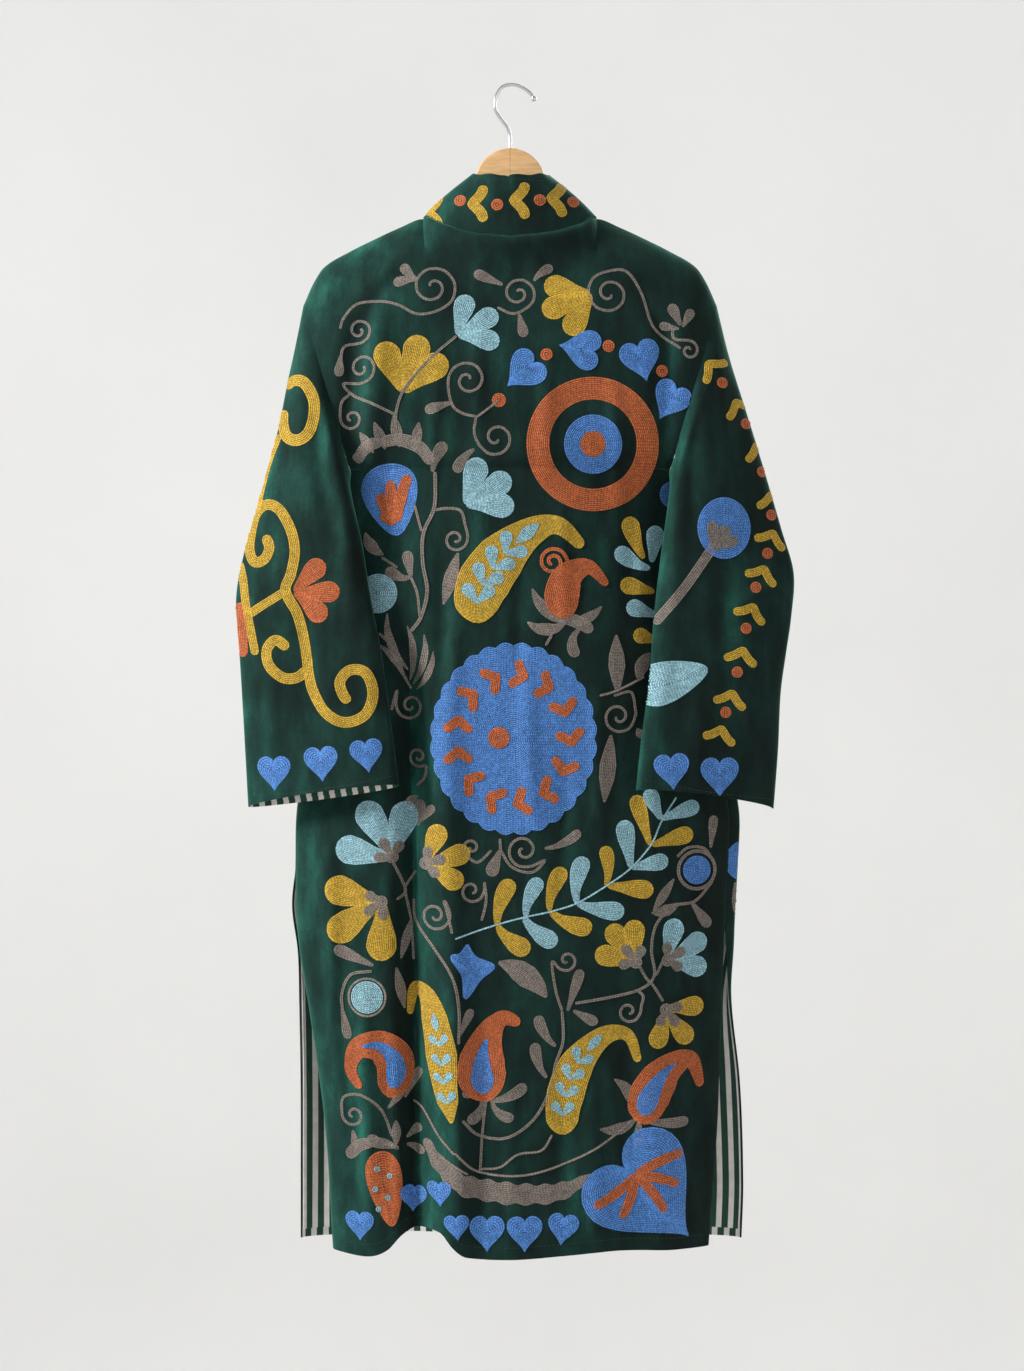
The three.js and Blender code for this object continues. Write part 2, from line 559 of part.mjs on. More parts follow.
// The hook's wire in the XZ plane, from the wood up and over to its end ball.
const HOOK_ROUTE = [
  { x: 0, z: -69.7 }, { x: 0, z: -58 }, { x: -2, z: -48 }, { x: -9, z: -38 }, { x: -15.5, z: -28 },
  { x: -17, z: -18 }, { x: -14, z: -8 }, { x: -8, z: -0.4 }, { x: 0, z: 2 }, { x: 8, z: 1 },
  { x: 17, z: -3.4 }, { x: 24, z: -9.5 }, { x: 28, z: -17 },
];
const HOOK_STEPS = 40;
const HOOK_SIDES = 8;
const BALL_RINGS = 5;

function hookGeometry() {
  const route = new THREE.CatmullRomCurve3(
    HOOK_ROUTE.map((p) => new THREE.Vector3(p.x, 0, p.z)), false, 'centripetal');
  const length = route.getLength();
  const rings = [];
  const ballAt = length - HOOK_END_BALL_RADIUS;
  for (let i = 0; i <= HOOK_STEPS; i += 1) {
    rings.push({ run: lerp(0, ballAt - HOOK_END_BALL_RADIUS, i / HOOK_STEPS), radius: WIRE_RADIUS });
  }
  for (let i = 1; i < BALL_RINGS; i += 1) {
    const turn = Math.PI * lerp(0.28, 0.97, i / BALL_RINGS);
    rings.push({
      run: ballAt - HOOK_END_BALL_RADIUS * Math.cos(turn),
      radius: HOOK_END_BALL_RADIUS * Math.sin(turn),
    });
  }
  const positions = [];
  rings.forEach(({ run, radius }) => {
    const u = clamp01(run / length);
    const centre = route.getPointAt(u);
    const tangent = route.getTangentAt(u);
    const across = new THREE.Vector3(-tangent.z, 0, tangent.x);
    for (let c = 0; c < HOOK_SIDES; c += 1) {
      const turn = 2 * Math.PI * c / HOOK_SIDES;
      const p = centre.clone().addScaledVector(across, radius * Math.cos(turn));
      positions.push(p.x, p.y + radius * Math.sin(turn), p.z);
    }
  });
  const index = [];
  for (let r = 0; r < rings.length - 1; r += 1) {
    for (let c = 0; c < HOOK_SIDES; c += 1) {
      const next = (c + 1) % HOOK_SIDES;
      const a = r * HOOK_SIDES;
      const b = a + HOOK_SIDES;
      index.push(a + c, a + next, b + next, a + c, b + next, b + c);
    }
  }
  const lastRing = (rings.length - 1) * HOOK_SIDES;
  for (let c = 1; c < HOOK_SIDES - 1; c += 1) {
    index.push(0, c + 1, c);
    index.push(lastRing, lastRing + c, lastRing + c + 1);
  }
  return facingOut(positions, index);
}

// ------------------------------------------------------------ the jacket --

const jacket = new THREE.Group();

function add(name, geometry, material) {
  const mesh = new THREE.Mesh(geometry, material);
  mesh.name = name;
  jacket.add(mesh);
}

const halfVelvet = VELVET_WALL / 2;
const liningFace = -(halfVelvet + LINING_GAP);
const liningBack = liningFace - LINING_WALL;

add('back_panel', clothWall(bodySheet(BACK_STATIONS, -1, BACK_FOLDS), halfVelvet, -halfVelvet), velvet);

const slitRow = YOKE_STATIONS.length - 1 + BODY_ROWS * (ARMPIT_Z - SLIT_Z) / (ARMPIT_Z - HEM_Z);
const hemRow = YOKE_STATIONS.length - 1 + BODY_ROWS;
const LINING_HEM_SHARE = 0.06;    // of a row's height, left bare at the hem
const LINING_EDGE_SHARE = 0.2;    // of a column's width, left bare at each edge
for (const side of [-1, 1]) {
  const name = side < 0 ? 'left' : 'right';
  const stations = FRONT_STATIONS.map((s) => side * s).sort((a, b) => a - b);
  const sheet = bodySheet(stations, 1, FRONT_FOLDS);
  add(`front_${name}`, clothWall(sheet, halfVelvet, -halfVelvet), velvet);
  const lining = partOf(
    sheet,
    [Math.ceil(slitRow), hemRow - LINING_HEM_SHARE],
    [LINING_EDGE_SHARE, stations.length - 1 - LINING_EDGE_SHARE],
  );
  add(`lining_front_${name}`, clothWall(lining, liningFace, liningBack), stripe);
}

for (const [name, sleeve] of Object.entries(SLEEVES)) {
  const sheet = sleeveSheet(sleeve);
  add(name, clothWall(sheet, halfVelvet, -halfVelvet), velvet);
  const lastRow = SLEEVE_STATIONS.length - 1;
  const lining = partOf(sheet, [lastRow - CUFF_LINING_ROWS, lastRow - LINING_HEM_SHARE]);
  add(name.replace('sleeve', 'lining_cuff'), clothWall(lining, liningFace, liningBack), stripe);
}

add('collar', clothWall(collarSheet(), COLLAR_WALL / 2, -COLLAR_WALL / 2), velvet);
add('hanger', hangerGeometry(), wood);
add('hook', hookGeometry(), steel);

export default jacket;
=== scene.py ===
# The looks of a long velvet jacket with chain-stitch embroidery, hung flat
# on a wooden hanger. Sizes are in millimetres, in the frame of the solids:
# +Z up, the back of the jacket towards -Y, its left in the back view at -X.

import math

import bmesh
import bpy
import numpy as np
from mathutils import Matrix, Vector
from mathutils.bvhtree import BVHTree


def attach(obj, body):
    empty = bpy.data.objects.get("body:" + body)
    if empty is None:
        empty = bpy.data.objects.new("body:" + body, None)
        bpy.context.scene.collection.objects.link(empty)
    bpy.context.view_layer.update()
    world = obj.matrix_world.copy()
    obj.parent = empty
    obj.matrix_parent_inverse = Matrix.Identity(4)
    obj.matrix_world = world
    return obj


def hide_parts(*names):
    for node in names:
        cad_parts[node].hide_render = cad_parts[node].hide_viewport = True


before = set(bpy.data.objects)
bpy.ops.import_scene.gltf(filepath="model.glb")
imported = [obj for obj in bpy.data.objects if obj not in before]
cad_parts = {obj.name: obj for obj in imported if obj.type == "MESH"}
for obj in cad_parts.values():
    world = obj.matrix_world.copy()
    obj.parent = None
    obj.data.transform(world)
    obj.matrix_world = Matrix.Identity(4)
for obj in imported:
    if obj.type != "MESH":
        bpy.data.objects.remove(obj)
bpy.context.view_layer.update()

MM = 0.001

# ------------------------------------------------------------------ sizes --

VELVET_WALL = 2.0
COLLAR_WALL = 2.6
LINING_WALL = 1.0
LINING_GAP = 0.8
SEAM_GAP = 0.2                    # the seams are closed here
RIDGE_GAP = 0.2

NECK_X = 96
NECK_BACK_Y = -47
NECK_FRONT_Y = 46
NECK_FRONT_Z = -214
DROP_X = 230
DROP_Z = -246
ARMPIT_X = 177
ARMPIT_Y = -16
ARMPIT_Z = -430
ARMHOLE_DEPTH = 32
UNDERARM_DROP = (3, -7, -5)
HEM_Z = -1292
SLIT_Z = -876
HEM_LIFT_POWER = 3
WRAP_ROUNDNESS = 0.8
FULL_WRAP = 18
FOLD_FADE = 70
CREASE_DEPTH = 1.7                # times the heights in the tables of creases
CREASE_FADE = 0.35                # the share of a crease over which it rises
CUFF_LINING_FROM = 0.83           # the share of the sleeve above its lining
SHOULDER_TIP_X = 207


def rows_of(columns, rows):
    """A table: rows of numbers under named columns."""
    return {name: np.array([row[i] for row in rows], float) for i, name in enumerate(columns.split())}


SHOULDER_LINE = rows_of("x z", [
    (0, -177), (46, -171), (78, -159), (96, -149), (123, -159), (151, -172), (179, -186),
    (207, -203), (219, -221), (230, -246)])
YOKE = rows_of("v bulge_back bulge_front roundness", [
    (0.0, 0, 0, 1.0), (0.25, 12, 12, 1.0), (0.5, 16, 12, 0.95), (0.75, 22, 26, 0.9), (1.0, 34, 52, 0.85)])
BODY = rows_of("z left right seam_y bulge_back bulge_front round wrap_left wrap_right", [
    (-430, -177, 177, -16, 34, 52, 0.85, 0, 0),
    (-450, -179, 179, -4, 45, 40, 0.8, 0, 0),
    (-480, -184, 184, 4, 52, 33, 0.7, 1, 2),
    (-560, -197, 198, 7, 56, 34, 0.6, 2, 8),
    (-680, -217, 221, 4, 56, 36, 0.5, 3, 14),
    (-805, -237, 243, 1, 56, 40, 0.5, 3, 18),
    (-876, -239, 242, 0, 56, 42, 0.5, 3, 18)])
BACK_SLIT = rows_of("z left right seam_y bulge_back round", [
    (-876, -239, 242, 0, 56, 0.5), (-954, -235, 238, -5, 54, 0.5), (-1041, -221, 234, -8, 52, 0.5),
    (-1157, -205, 230, -10, 52, 0.5), (-1292, -196, 220, -12, 52, 0.5)])
FRONT_SLIT = rows_of("z left right seam_y bulge_front round wrap_left wrap_right", [
    (-876, -239, 242, 0, 42, 0.5, 3, 18), (-917, -243, 240, 4, 40, 0.5, 3, 18),
    (-968, -237, 243, 8, 38, 0.5, 2, 14), (-1025, -236, 247, 14, 34, 0.5, 0, 6),
    (-1116, -235, 258, 20, 30, 0.5, 0, 0), (-1229, -235, 262, 22, 30, 0.5, 0, 0),
    (-1292, -235, 260, 22, 30, 0.5, 0, 0)])
HEM_RISE = rows_of("x rise", [
    (-260, 0), (-190, -3), (-154, -5), (-134, 3), (-119, 19), (-100, 26), (-76, 25), (-62, 9),
    (-48, -1), (0, -4), (60, 0), (120, 4), (200, 0), (260, 0)])

# The largest folds: from (x0, z0) down to (x1, z1), half width, height out.
BACK_FOLDS = [
    (-112, -600, -102, -1330, 15, -24), (-70, -690, -56, -1330, 17, 9),
    (-138, -230, -166, -560, 13, 6), (-168, -250, -178, -420, 12, -6),
    (176, -240, 166, -440, 12, -5), (-70, -470, -76, -680, 13, -4),
    (-204, -820, -178, -1200, 12, 6), (150, -900, 172, -1330, 20, 5)]
FRONT_FOLDS = [
    (-96, -520, -112, -1330, 20, 9), (-160, -700, -176, -1330, 17, -7),
    (-46, -760, -50, -1330, 18, -8), (88, -560, 104, -1330, 19, 9), (142, -800, 160, -1330, 17, -8),
    (40, -900, 42, -1330, 16, -5)]

# The finer creases: as above, with bow, the sideways reach of the middle.
BACK_CREASES = [
    (-76, -300, -84, -470, 8, 1.6, 3), (-60, -560, -74, -760, 10, 2.2, -4),
    (-30, -240, -36, -400, 9, 1.2, 2), (48, -260, 40, -470, 10, 1.8, 4),
    (12, -480, 4, -700, 9, -1.4, -3), (58, -430, 62, -640, 8, 1.3, 2),
    (108, -300, 118, -520, 9, 1.5, -5), (140, -380, 132, -610, 8, -1.6, 3),
    (20, -620, 30, -860, 10, 2.2, 4), (60, -700, 52, -950, 10, -1.5, -4),
    (96, -640, 104, -880, 9, 1.7, 3), (150, -690, 158, -930, 10, 2.0, -3),
    (190, -860, 196, -1100, 9, 1.8, 2), (-160, -560, -176, -800, 9, 2.4, 4),
    (-130, -640, -140, -900, 8, -2.0, -3), (-188, -900, -176, -1200, 9, -2.6, 3),
    (-160, -960, -150, -1310, 10, 3.2, 2), (-136, -1000, -130, -1310, 8, -2, 0),
    (-60, -900, -48, -1310, 9, 2.4, 3), (-34, -980, -30, -1310, 9, -1.8, -2),
    (0, -1040, 8, -1310, 12, 1.8, 3), (50, -1000, 58, -1310, 13, -1.6, -3),
    (92, -1080, 98, -1310, 11, 2.0, 2), (128, -980, 136, -1240, 10, -1.3, 2),
    (176, -1100, 182, -1310, 10, 1.9, -2), (-100, -172, -156, -236, 9, 1.5, 0),
    (100, -174, 156, -238, 9, 1.4, 2), (-118, -204, -176, -310, 9, -1.6, 6),
    (124, -208, 178, -312, 9, -1.7, -6), (-20, -190, -44, -236, 7, 1.0, 0),
    (24, -190, 38, -240, 7, 0.9, 0), (-196, -640, -206, -780, 9, 1.6, 2),
    (206, -620, 214, -800, 9, 1.6, -2)]
FRONT_CREASES = [
    (-60, -240, -76, -480, 9, 1.8, 4), (-120, -220, -150, -420, 10, 2.0, -5),
    (-30, -360, -34, -620, 8, 1.3, 2), (-140, -460, -150, -700, 9, -1.8, 4),
    (-70, -620, -76, -900, 10, 2.0, -4), (-196, -560, -204, -820, 9, 1.8, 3),
    (-130, -900, -140, -1310, 10, 2.2, 3), (-76, -980, -80, -1310, 9, -1.6, -2),
    (-206, -900, -212, -1310, 10, 2.0, 3), (-24, -700, -26, -1000, 8, 1.2, 2),
    (64, -250, 72, -470, 9, 1.6, -4), (122, -230, 146, -440, 10, 1.9, 5),
    (34, -400, 38, -680, 8, -1.4, 2), (118, -520, 126, -800, 9, 2.0, 3),
    (186, -560, 196, -840, 9, -1.7, -3), (64, -760, 72, -1080, 10, 1.9, 3),
    (120, -940, 128, -1310, 10, -2.0, -3), (204, -900, 214, -1310, 10, 2.3, 3),
    (24, -980, 22, -1310, 8, 1.4, -2)]
SLEEVE_LEFT_CREASES = [
    (-222, -262, -232, -440, 9, 2.2, 4), (-212, -330, -196, -520, 9, -1.8, 3),
    (-256, -340, -280, -520, 10, 2.0, -3), (-186, -430, -170, -640, 9, 2.4, -3),
    (-226, -520, -214, -770, 11, -1.9, 4), (-262, -590, -256, -790, 10, 1.9, 3),
    (-160, -590, -146, -770, 8, 1.8, -2), (-304, -566, -236, -596, 9, 1.8, 4),
    (-300, -590, -226, -628, 8, -1.4, 3), (-196, -640, -186, -780, 9, 1.4, 2),
    (-242, -268, -262, -380, 8, -1.4, 0)]
SLEEVE_RIGHT_CREASES = [
    (224, -268, 238, -450, 9, 2.2, -4), (206, -340, 200, -530, 9, -1.9, 3),
    (262, -350, 292, -520, 10, 1.9, 3), (188, -440, 176, -650, 9, 2.3, 3),
    (236, -500, 226, -760, 11, -1.8, -4), (272, -600, 268, -790, 10, 1.8, 3),
    (172, -600, 160, -780, 8, 1.9, 2), (312, -548, 244, -580, 9, 1.9, -4),
    (306, -580, 236, -612, 8, -1.3, 2), (206, -650, 200, -790, 9, 1.5, -2),
    (248, -276, 270, -380, 8, -1.5, 0)]

SLEEVE_LEFT = {
    "side": -1, "cuff_dip": 0.6,
    "outer": [
        (230, 0, -246), (238, -8, -291), (246, -12, -330), (257, -15, -386), (269, -15, -431),
        (281, -15, -475), (295, -17, -525), (303, -19, -572), (300, -21, -620), (297, -23, -664),
        (293, -24, -731), (289, -24, -804)],
    "inner": [
        (177, -16, -430), (177, -34, -452), (164, -43, -511), (153, -51, -577), (142, -57, -631),
        (131, -63, -708), (122, -67, -779)]}
SLEEVE_RIGHT = {
    "side": 1, "cuff_dip": -0.9,
    "outer": [
        (230, 0, -246), (243, -8, -303), (258, -12, -353), (272, -15, -399), (287, -15, -449),
        (301, -15, -497), (314, -18, -545), (311, -20, -594), (305, -22, -634), (299, -23, -678),
        (296, -24, -740), (291, -24, -806)],
    "inner": [
        (177, -16, -430), (177, -34, -452), (166, -44, -533), (158, -52, -599), (153, -57, -664),
        (144, -63, -730), (138, -67, -784)]}
SLEEVE_SECTION = rows_of("t near far flatten tilt", [
    (0.0, 32, 32, 0.0, 0), (0.04, 31, 27, 0.85, 0), (0.12, 27, 22, 0.85, 0), (0.3, 21, 17, 0.85, 0),
    (0.55, 18, 13, 0.85, 0), (0.85, 17, 11, 0.8, 2), (1.0, 17, 11, 0.8, 6)])

COLLAR_TOP_X = 43
COLLAR_TOP_BACK_Y = -31
COLLAR_TOP_FRONT_Y = 30
COLLAR_TOP_BACK_Z = -106
COLLAR_TOP_FRONT_Z = -158
COLLAR_SIDE_Z = -101
COLLAR_BULGE = 3
COLLAR_END_ANGLE = 175.5
COLLAR_SEAM = 1.2
COLLAR_WAVE = 0.8                 # of the waves along its top edge
COLLAR_DIP = 1.6

WOOD_THICKNESS = 12
WOOD_BEVEL = 2
ARCH_RADIUS = 39
ARCH_TOP_Z = -70
ARM_UNDER_CLOTH = 3.6
ARM_END_X = 192
ARM_HEIGHT_MIDDLE = 46
ARM_HEIGHT_END = 20
WIRE_RADIUS = 2
WIRE_SIDES = 16
HOOK_END_BALL_RADIUS = 3.2
HOOK_ROUTE = [
    (0, -69.7), (0, -58), (-2, -48), (-9, -38), (-15.5, -28), (-17, -18), (-14, -8), (-8, -0.4), (0, 2),
    (8, 1), (17, -3.4), (24, -9.5), (28, -17)]

# ------------------------------------------------------------- arithmetic --


def lerp(a, b, t):
    return a + (b - a) * t


def ease(t):
    t = np.clip(t, 0, 1)
    return t * t * (3 - 2 * t)


def along(rows, key, column, at):
    """A smooth curve through a table's rows: the value of column at key = at."""
    keys = rows[key]
    values = rows[column]
    if keys[0] > keys[-1]:
        keys = keys[::-1]
        values = values[::-1]
    last = len(keys) - 1
    below = np.maximum(np.arange(last + 1) - 1, 0)
    above = np.minimum(np.arange(last + 1) + 1, last)
    slopes = (values[above] - values[below]) / (keys[above] - keys[below])
    at = np.clip(at, keys[0], keys[-1])
    i = np.clip(np.searchsorted(keys, at, side="right") - 1, 0, last - 1)
    span = keys[i + 1] - keys[i]
    t = (at - keys[i]) / span
    return ((2 * t**3 - 3 * t**2 + 1) * values[i] + (t**3 - 2 * t**2 + t) * span * slopes[i]
            + (3 * t**2 - 2 * t**3) * values[i + 1] + (t**3 - t**2) * span * slopes[i + 1])


def run_along(path):
    """The length of a path up to each of its points."""
    return np.concatenate([[0], np.cumsum(np.linalg.norm(np.diff(path, axis=0), axis=1))])


def by_length(points):
    """A table of points, with t as the share of its length."""
    points = np.array(points, float)
    run = run_along(points)
    return {"x": points[:, 0], "y": points[:, 1], "z": points[:, 2], "t": run / run[-1]}


def smooth_path(points, spacing=1.0):
    """A Catmull-Rom curve through points, sampled evenly."""
    points = np.array(points, float)
    ends = np.vstack([2 * points[0] - points[1], points, 2 * points[-1] - points[-2]])
    pieces = []
    for i in range(1, len(ends) - 2):
        p0, p1, p2, p3 = ends[i - 1:i + 3]
        t = np.linspace(0, 1, 24, endpoint=False)[:, None]
        pieces.append(0.5 * (2 * p1 + (p2 - p0) * t + (2 * p0 - 5 * p1 + 4 * p2 - p3) * t**2
                             + (3 * p1 - p0 - 3 * p2 + p3) * t**3))
    pieces.append(points[-1:])
    return evenly(np.vstack(pieces), spacing)


def evenly(path, spacing, even_count=False):
    """The path again, with points about spacing apart."""
    run = run_along(path)
    count = max(2, int(round(run[-1] / spacing)))
    if even_count:
        count += count % 2
    at = np.linspace(0, run[-1], count + 1)
    return np.stack([np.interp(at, run, path[:, k]) for k in range(path.shape[1])], axis=1)

# ------------------------------------------------------- the cloth's forms --


def folds_at(folds, x, z):
    """How far the largest folds lift the cloth."""
    total = np.zeros_like(x)
    for x0, z0, x1, z1, width, out in folds:
        middle = lerp(x0, x1, np.clip((z0 - z) / (z0 - z1), 0, 1))
        fade = ease((z0 - z) / FOLD_FADE) * ease((z - z1) / FOLD_FADE)
        total += out * fade * np.exp(-((x - middle) / width) ** 2)
    return total


def creases_at(creases, x, z):
    """How far the finer creases lift the cloth."""
    total = np.zeros_like(x)
    for x0, z0, x1, z1, width, out, bow in creases:
        length = math.hypot(x1 - x0, z1 - z0)
        dx = (x1 - x0) / length
        dz = (z1 - z0) / length
        run = (x - x0) * dx + (z - z0) * dz
        aside = (x - x0) * dz - (z - z0) * dx - bow * np.sin(np.pi * np.clip(run / length, 0, 1))
        fade = CREASE_FADE * length
        ends = ease(run / fade) * ease((length - run) / fade)
        total += CREASE_DEPTH * out * ends * np.exp(-(aside / width) ** 2)
    return total


def front_neck_z(x):
    shoulder = along(SHOULDER_LINE, "x", "z", NECK_X)
    return lerp(NECK_FRONT_Z, shoulder, np.clip(x / NECK_X, 0, 1) ** 1.6)


def yoke_grid(s, v, layer):
    """The body from the shoulders (v = 0) to the armpits (v = 1)."""
    s = s[None, :]
    v = v[:, None]
    t = (1 - np.cos(np.pi * v)) / 2
    top_x = np.abs(s) * DROP_X
    top_z = along(SHOULDER_LINE, "x", "z", top_x)
    if layer > 0:
        top_z = np.where(top_x < NECK_X, front_neck_z(top_x), top_z)
    bulge = along(YOKE, "v", "bulge_back" if layer < 0 else "bulge_front", v)
    neck_depth = NECK_BACK_Y if layer < 0 else NECK_FRONT_Y
    dip = neck_depth * np.sqrt(np.clip(1 - (top_x / NECK_X) ** 2, 0, None)) * (1 - ease(v / 0.3))
    gap = lerp(RIDGE_GAP, SEAM_GAP, ease(v / 0.2))
    x = s * lerp(DROP_X, ARMPIT_X, t)
    y = (ARMPIT_Y * t + layer * ARMHOLE_DEPTH * np.sin(np.pi * v) + dip
         + layer * (gap + bulge * (1 - s * s) ** along(YOKE, "v", "roundness", v)))
    z = lerp(DROP_Z, ARMPIT_Z, t) + (top_z - DROP_Z) * (1 - v)
    return np.stack([x, y, z], axis=-1)


def at_levels(upper, lower, column, level):
    """A column of the table above the slits, or of the one below them."""
    return np.where(level >= SLIT_Z, along(upper, "z", column, level), along(lower, "z", column, level))


def back_grid(s, share):
    s = s[None, :]
    share = share[:, None]
    level = lerp(ARMPIT_Z, HEM_Z, share)
    left, right, seam_y, bulge, roundness = (
        at_levels(BODY, BACK_SLIT, column, level)
        for column in ("left", "right", "seam_y", "bulge_back", "round"))
    wrapped = np.where(level >= SLIT_Z, along(BODY, "z", "wrap_right", level) / FULL_WRAP, 1)
    roundness = lerp(roundness, WRAP_ROUNDNESS, np.where(s > 0, wrapped * ease(s), 0))
    x = lerp(left, right, (1 + s) / 2)
    y = seam_y - SEAM_GAP - bulge * (1 - s * s) ** roundness
    z = level + along(HEM_RISE, "x", "rise", x) * share**HEM_LIFT_POWER
    return np.stack([x, y, z], axis=-1)


def front_grid(s, share):
    s = s[None, :]
    level = lerp(ARMPIT_Z, HEM_Z, share[:, None])
    side = "left" if s.mean() < 0 else "right"
    seam, seam_y, bulge, roundness, wrap = (
        at_levels(BODY, FRONT_SLIT, column, level)
        for column in (side, "seam_y", "bulge_front", "round", "wrap_" + side))
    wrap = np.radians(wrap)
    angle = np.arcsin(np.abs(s)) * (1 + wrap / (np.pi / 2))
    height = np.sign(np.cos(angle)) * np.abs(np.cos(angle)) ** (2 * roundness)
    x = seam / np.cos(wrap) * np.sin(angle)
    y = seam_y + SEAM_GAP + bulge / (1 + np.sin(wrap)) * (np.sin(wrap) + height)
    return np.stack([x, y, level + 0 * s], axis=-1)


YOKE_ROWS = 54
BODY_ROWS = 184
BACK_COLUMNS = 160
FRONT_COLUMNS = 64
FRONT_EDGE_SHARE = 0.03


def body_grid(layer, s, folds, creases):
    """The whole back or one front, from its top edge to the hem."""
    upper = yoke_grid(s, np.linspace(0, 1, YOKE_ROWS + 1)[:-1], layer)
    lower = (back_grid if layer < 0 else front_grid)(s, np.linspace(0, 1, BODY_ROWS + 1))
    grid = np.concatenate([upper, lower])
    x = grid[..., 0]
    z = grid[..., 2]
    shift = folds_at(folds, x, z) + creases_at(creases, x, z)
    grid[..., 1] += layer * shift
    return grid


SLEEVE_ROWS = 120
SLEEVE_COLUMNS = 72


def sleeve_grid(sleeve, creases):
    side = sleeve["side"]
    t = np.linspace(0, 1, SLEEVE_ROWS + 1)
    top, bottom = (
        np.stack([way * along(rows, "t", axis, t) for axis, way in zip("xyz", (side, 1, 1))], axis=-1)
        for rows in (by_length(sleeve["outer"]), by_length(sleeve["inner"])))
    near, far, flatten, tilt = (
        along(SLEEVE_SECTION, "t", column, t)[:, None] for column in ("near", "far", "flatten", "tilt"))
    turn = np.linspace(0, 2 * np.pi, SLEEVE_COLUMNS, endpoint=False)[None, :]
    grid = lerp(bottom[:, None], top[:, None], (1 + np.cos(turn))[..., None] / 2)
    behind = np.sin(turn) > 0
    grid[..., 1] += np.sin(turn) * np.where(behind, far * (1 + flatten * np.cos(turn)), near)
    grid[..., 2] -= np.sin(turn) * tilt * np.where(behind, sleeve["cuff_dip"], 1)
    low = ease((DROP_Z - grid[0, :, 2]) / (DROP_Z - ARMPIT_Z) * 4 - 3)
    for k, drop in enumerate(UNDERARM_DROP):
        grid[0, :, k] += drop * low * (side if k == 0 else 1)
    lift = creases_at(creases, grid[..., 0], grid[..., 2]) * ease(t * 8)[:, None]
    grid[..., 1] += np.where(behind, 0.5, -1) * lift * np.abs(np.sin(turn))
    return grid


COLLAR_ROWS = 24
COLLAR_COLUMNS = 130


def collar_grid():
    up = np.linspace(1, 0, COLLAR_ROWS + 1)[:, None]
    angle = np.radians(np.linspace(-COLLAR_END_ANGLE, COLLAR_END_ANGLE, COLLAR_COLUMNS + 1))[None, :]
    front = np.cos(angle) < 0
    share = np.abs(np.sin(angle))
    foot_z = np.where(front, front_neck_z(NECK_X * share), along(SHOULDER_LINE, "x", "z", NECK_X * share))
    foot_y = np.abs(np.cos(angle)) * np.where(front, NECK_FRONT_Y, NECK_BACK_Y)
    top_y = np.abs(np.cos(angle)) * np.where(front, COLLAR_TOP_FRONT_Y, COLLAR_TOP_BACK_Y)
    top_z = lerp(np.where(front, COLLAR_TOP_FRONT_Z, COLLAR_TOP_BACK_Z), COLLAR_SIDE_Z, share**2)
    bulge = COLLAR_BULGE * np.sin(np.pi * up)
    x = np.sin(angle) * (lerp(NECK_X, COLLAR_TOP_X, up) + bulge)
    y = lerp(foot_y, top_y, up) - np.cos(angle) * bulge
    z = lerp(foot_z + COLLAR_SEAM, top_z, up)
    grid = np.stack([x, y, z], axis=-1)
    # Soft waves along the top edge, and a small dip near its middle.
    wave = COLLAR_WAVE * np.sin(angle * 9) - COLLAR_DIP * np.exp(-((angle + 0.05) / 0.05) ** 2)
    grid[..., 2] += wave * up**3
    return grid


def normals_of(grid, outward, closed=False):
    """Face normals of a grid. outward is a rough direction for each point."""
    if closed:
        across = np.roll(grid, -1, axis=1) - np.roll(grid, 1, axis=1)
    else:
        across = np.gradient(grid, axis=1)
    normals = np.cross(across, np.gradient(grid, axis=0))
    normals /= np.linalg.norm(normals, axis=-1, keepdims=True)
    return -normals if (normals * outward).sum() < 0 else normals

# ---------------------------------------------------------------- meshes --


def mesh_object(name, points, quads, materials, picks=None, uvs=None):
    """A smooth object of quads. uvs are given for each corner."""
    mesh = bpy.data.meshes.new(name)
    quads = np.asarray(quads, np.int32)
    mesh.vertices.add(len(points))
    mesh.vertices.foreach_set("co", (np.asarray(points, float) * MM).astype(np.float32).ravel())
    mesh.loops.add(quads.size)
    mesh.loops.foreach_set("vertex_index", quads.ravel())
    mesh.polygons.add(len(quads))
    mesh.polygons.foreach_set("loop_start", np.arange(0, quads.size, 4, dtype=np.int32))
    mesh.polygons.foreach_set("loop_total", np.full(len(quads), 4, np.int32))
    mesh.polygons.foreach_set("use_smooth", np.ones(len(quads), bool))
    for material in materials:
        mesh.materials.append(material)
    if picks is not None:
        mesh.polygons.foreach_set("material_index", np.asarray(picks, np.int32))
    if uvs is not None:
        layer = mesh.uv_layers.new(name="rows")
        layer.data.foreach_set("uv", np.asarray(uvs, np.float32).ravel())
    mesh.update(calc_edges=True)
    mesh.validate()
    made = bpy.data.objects.new(name, mesh)
    bpy.context.scene.collection.objects.link(made)
    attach(made, "root")
    return made


def grid_quads(rows, cols, closed=False):
    """The quads of a grid of points, row by row."""
    spans = np.arange(cols if closed else cols - 1)
    r, c = (k.ravel() for k in np.meshgrid(np.arange(rows - 1), spans, indexing="ij"))
    n = (c + 1) % cols
    return np.stack([r * cols + c, (r + 1) * cols + c, (r + 1) * cols + n, r * cols + n], axis=1)


def signed_volume(points, quads):
    a, b, c, d = (points[quads[:, k]] for k in range(4))
    return (np.cross(a, b) * c).sum() + (np.cross(a, c) * d).sum()


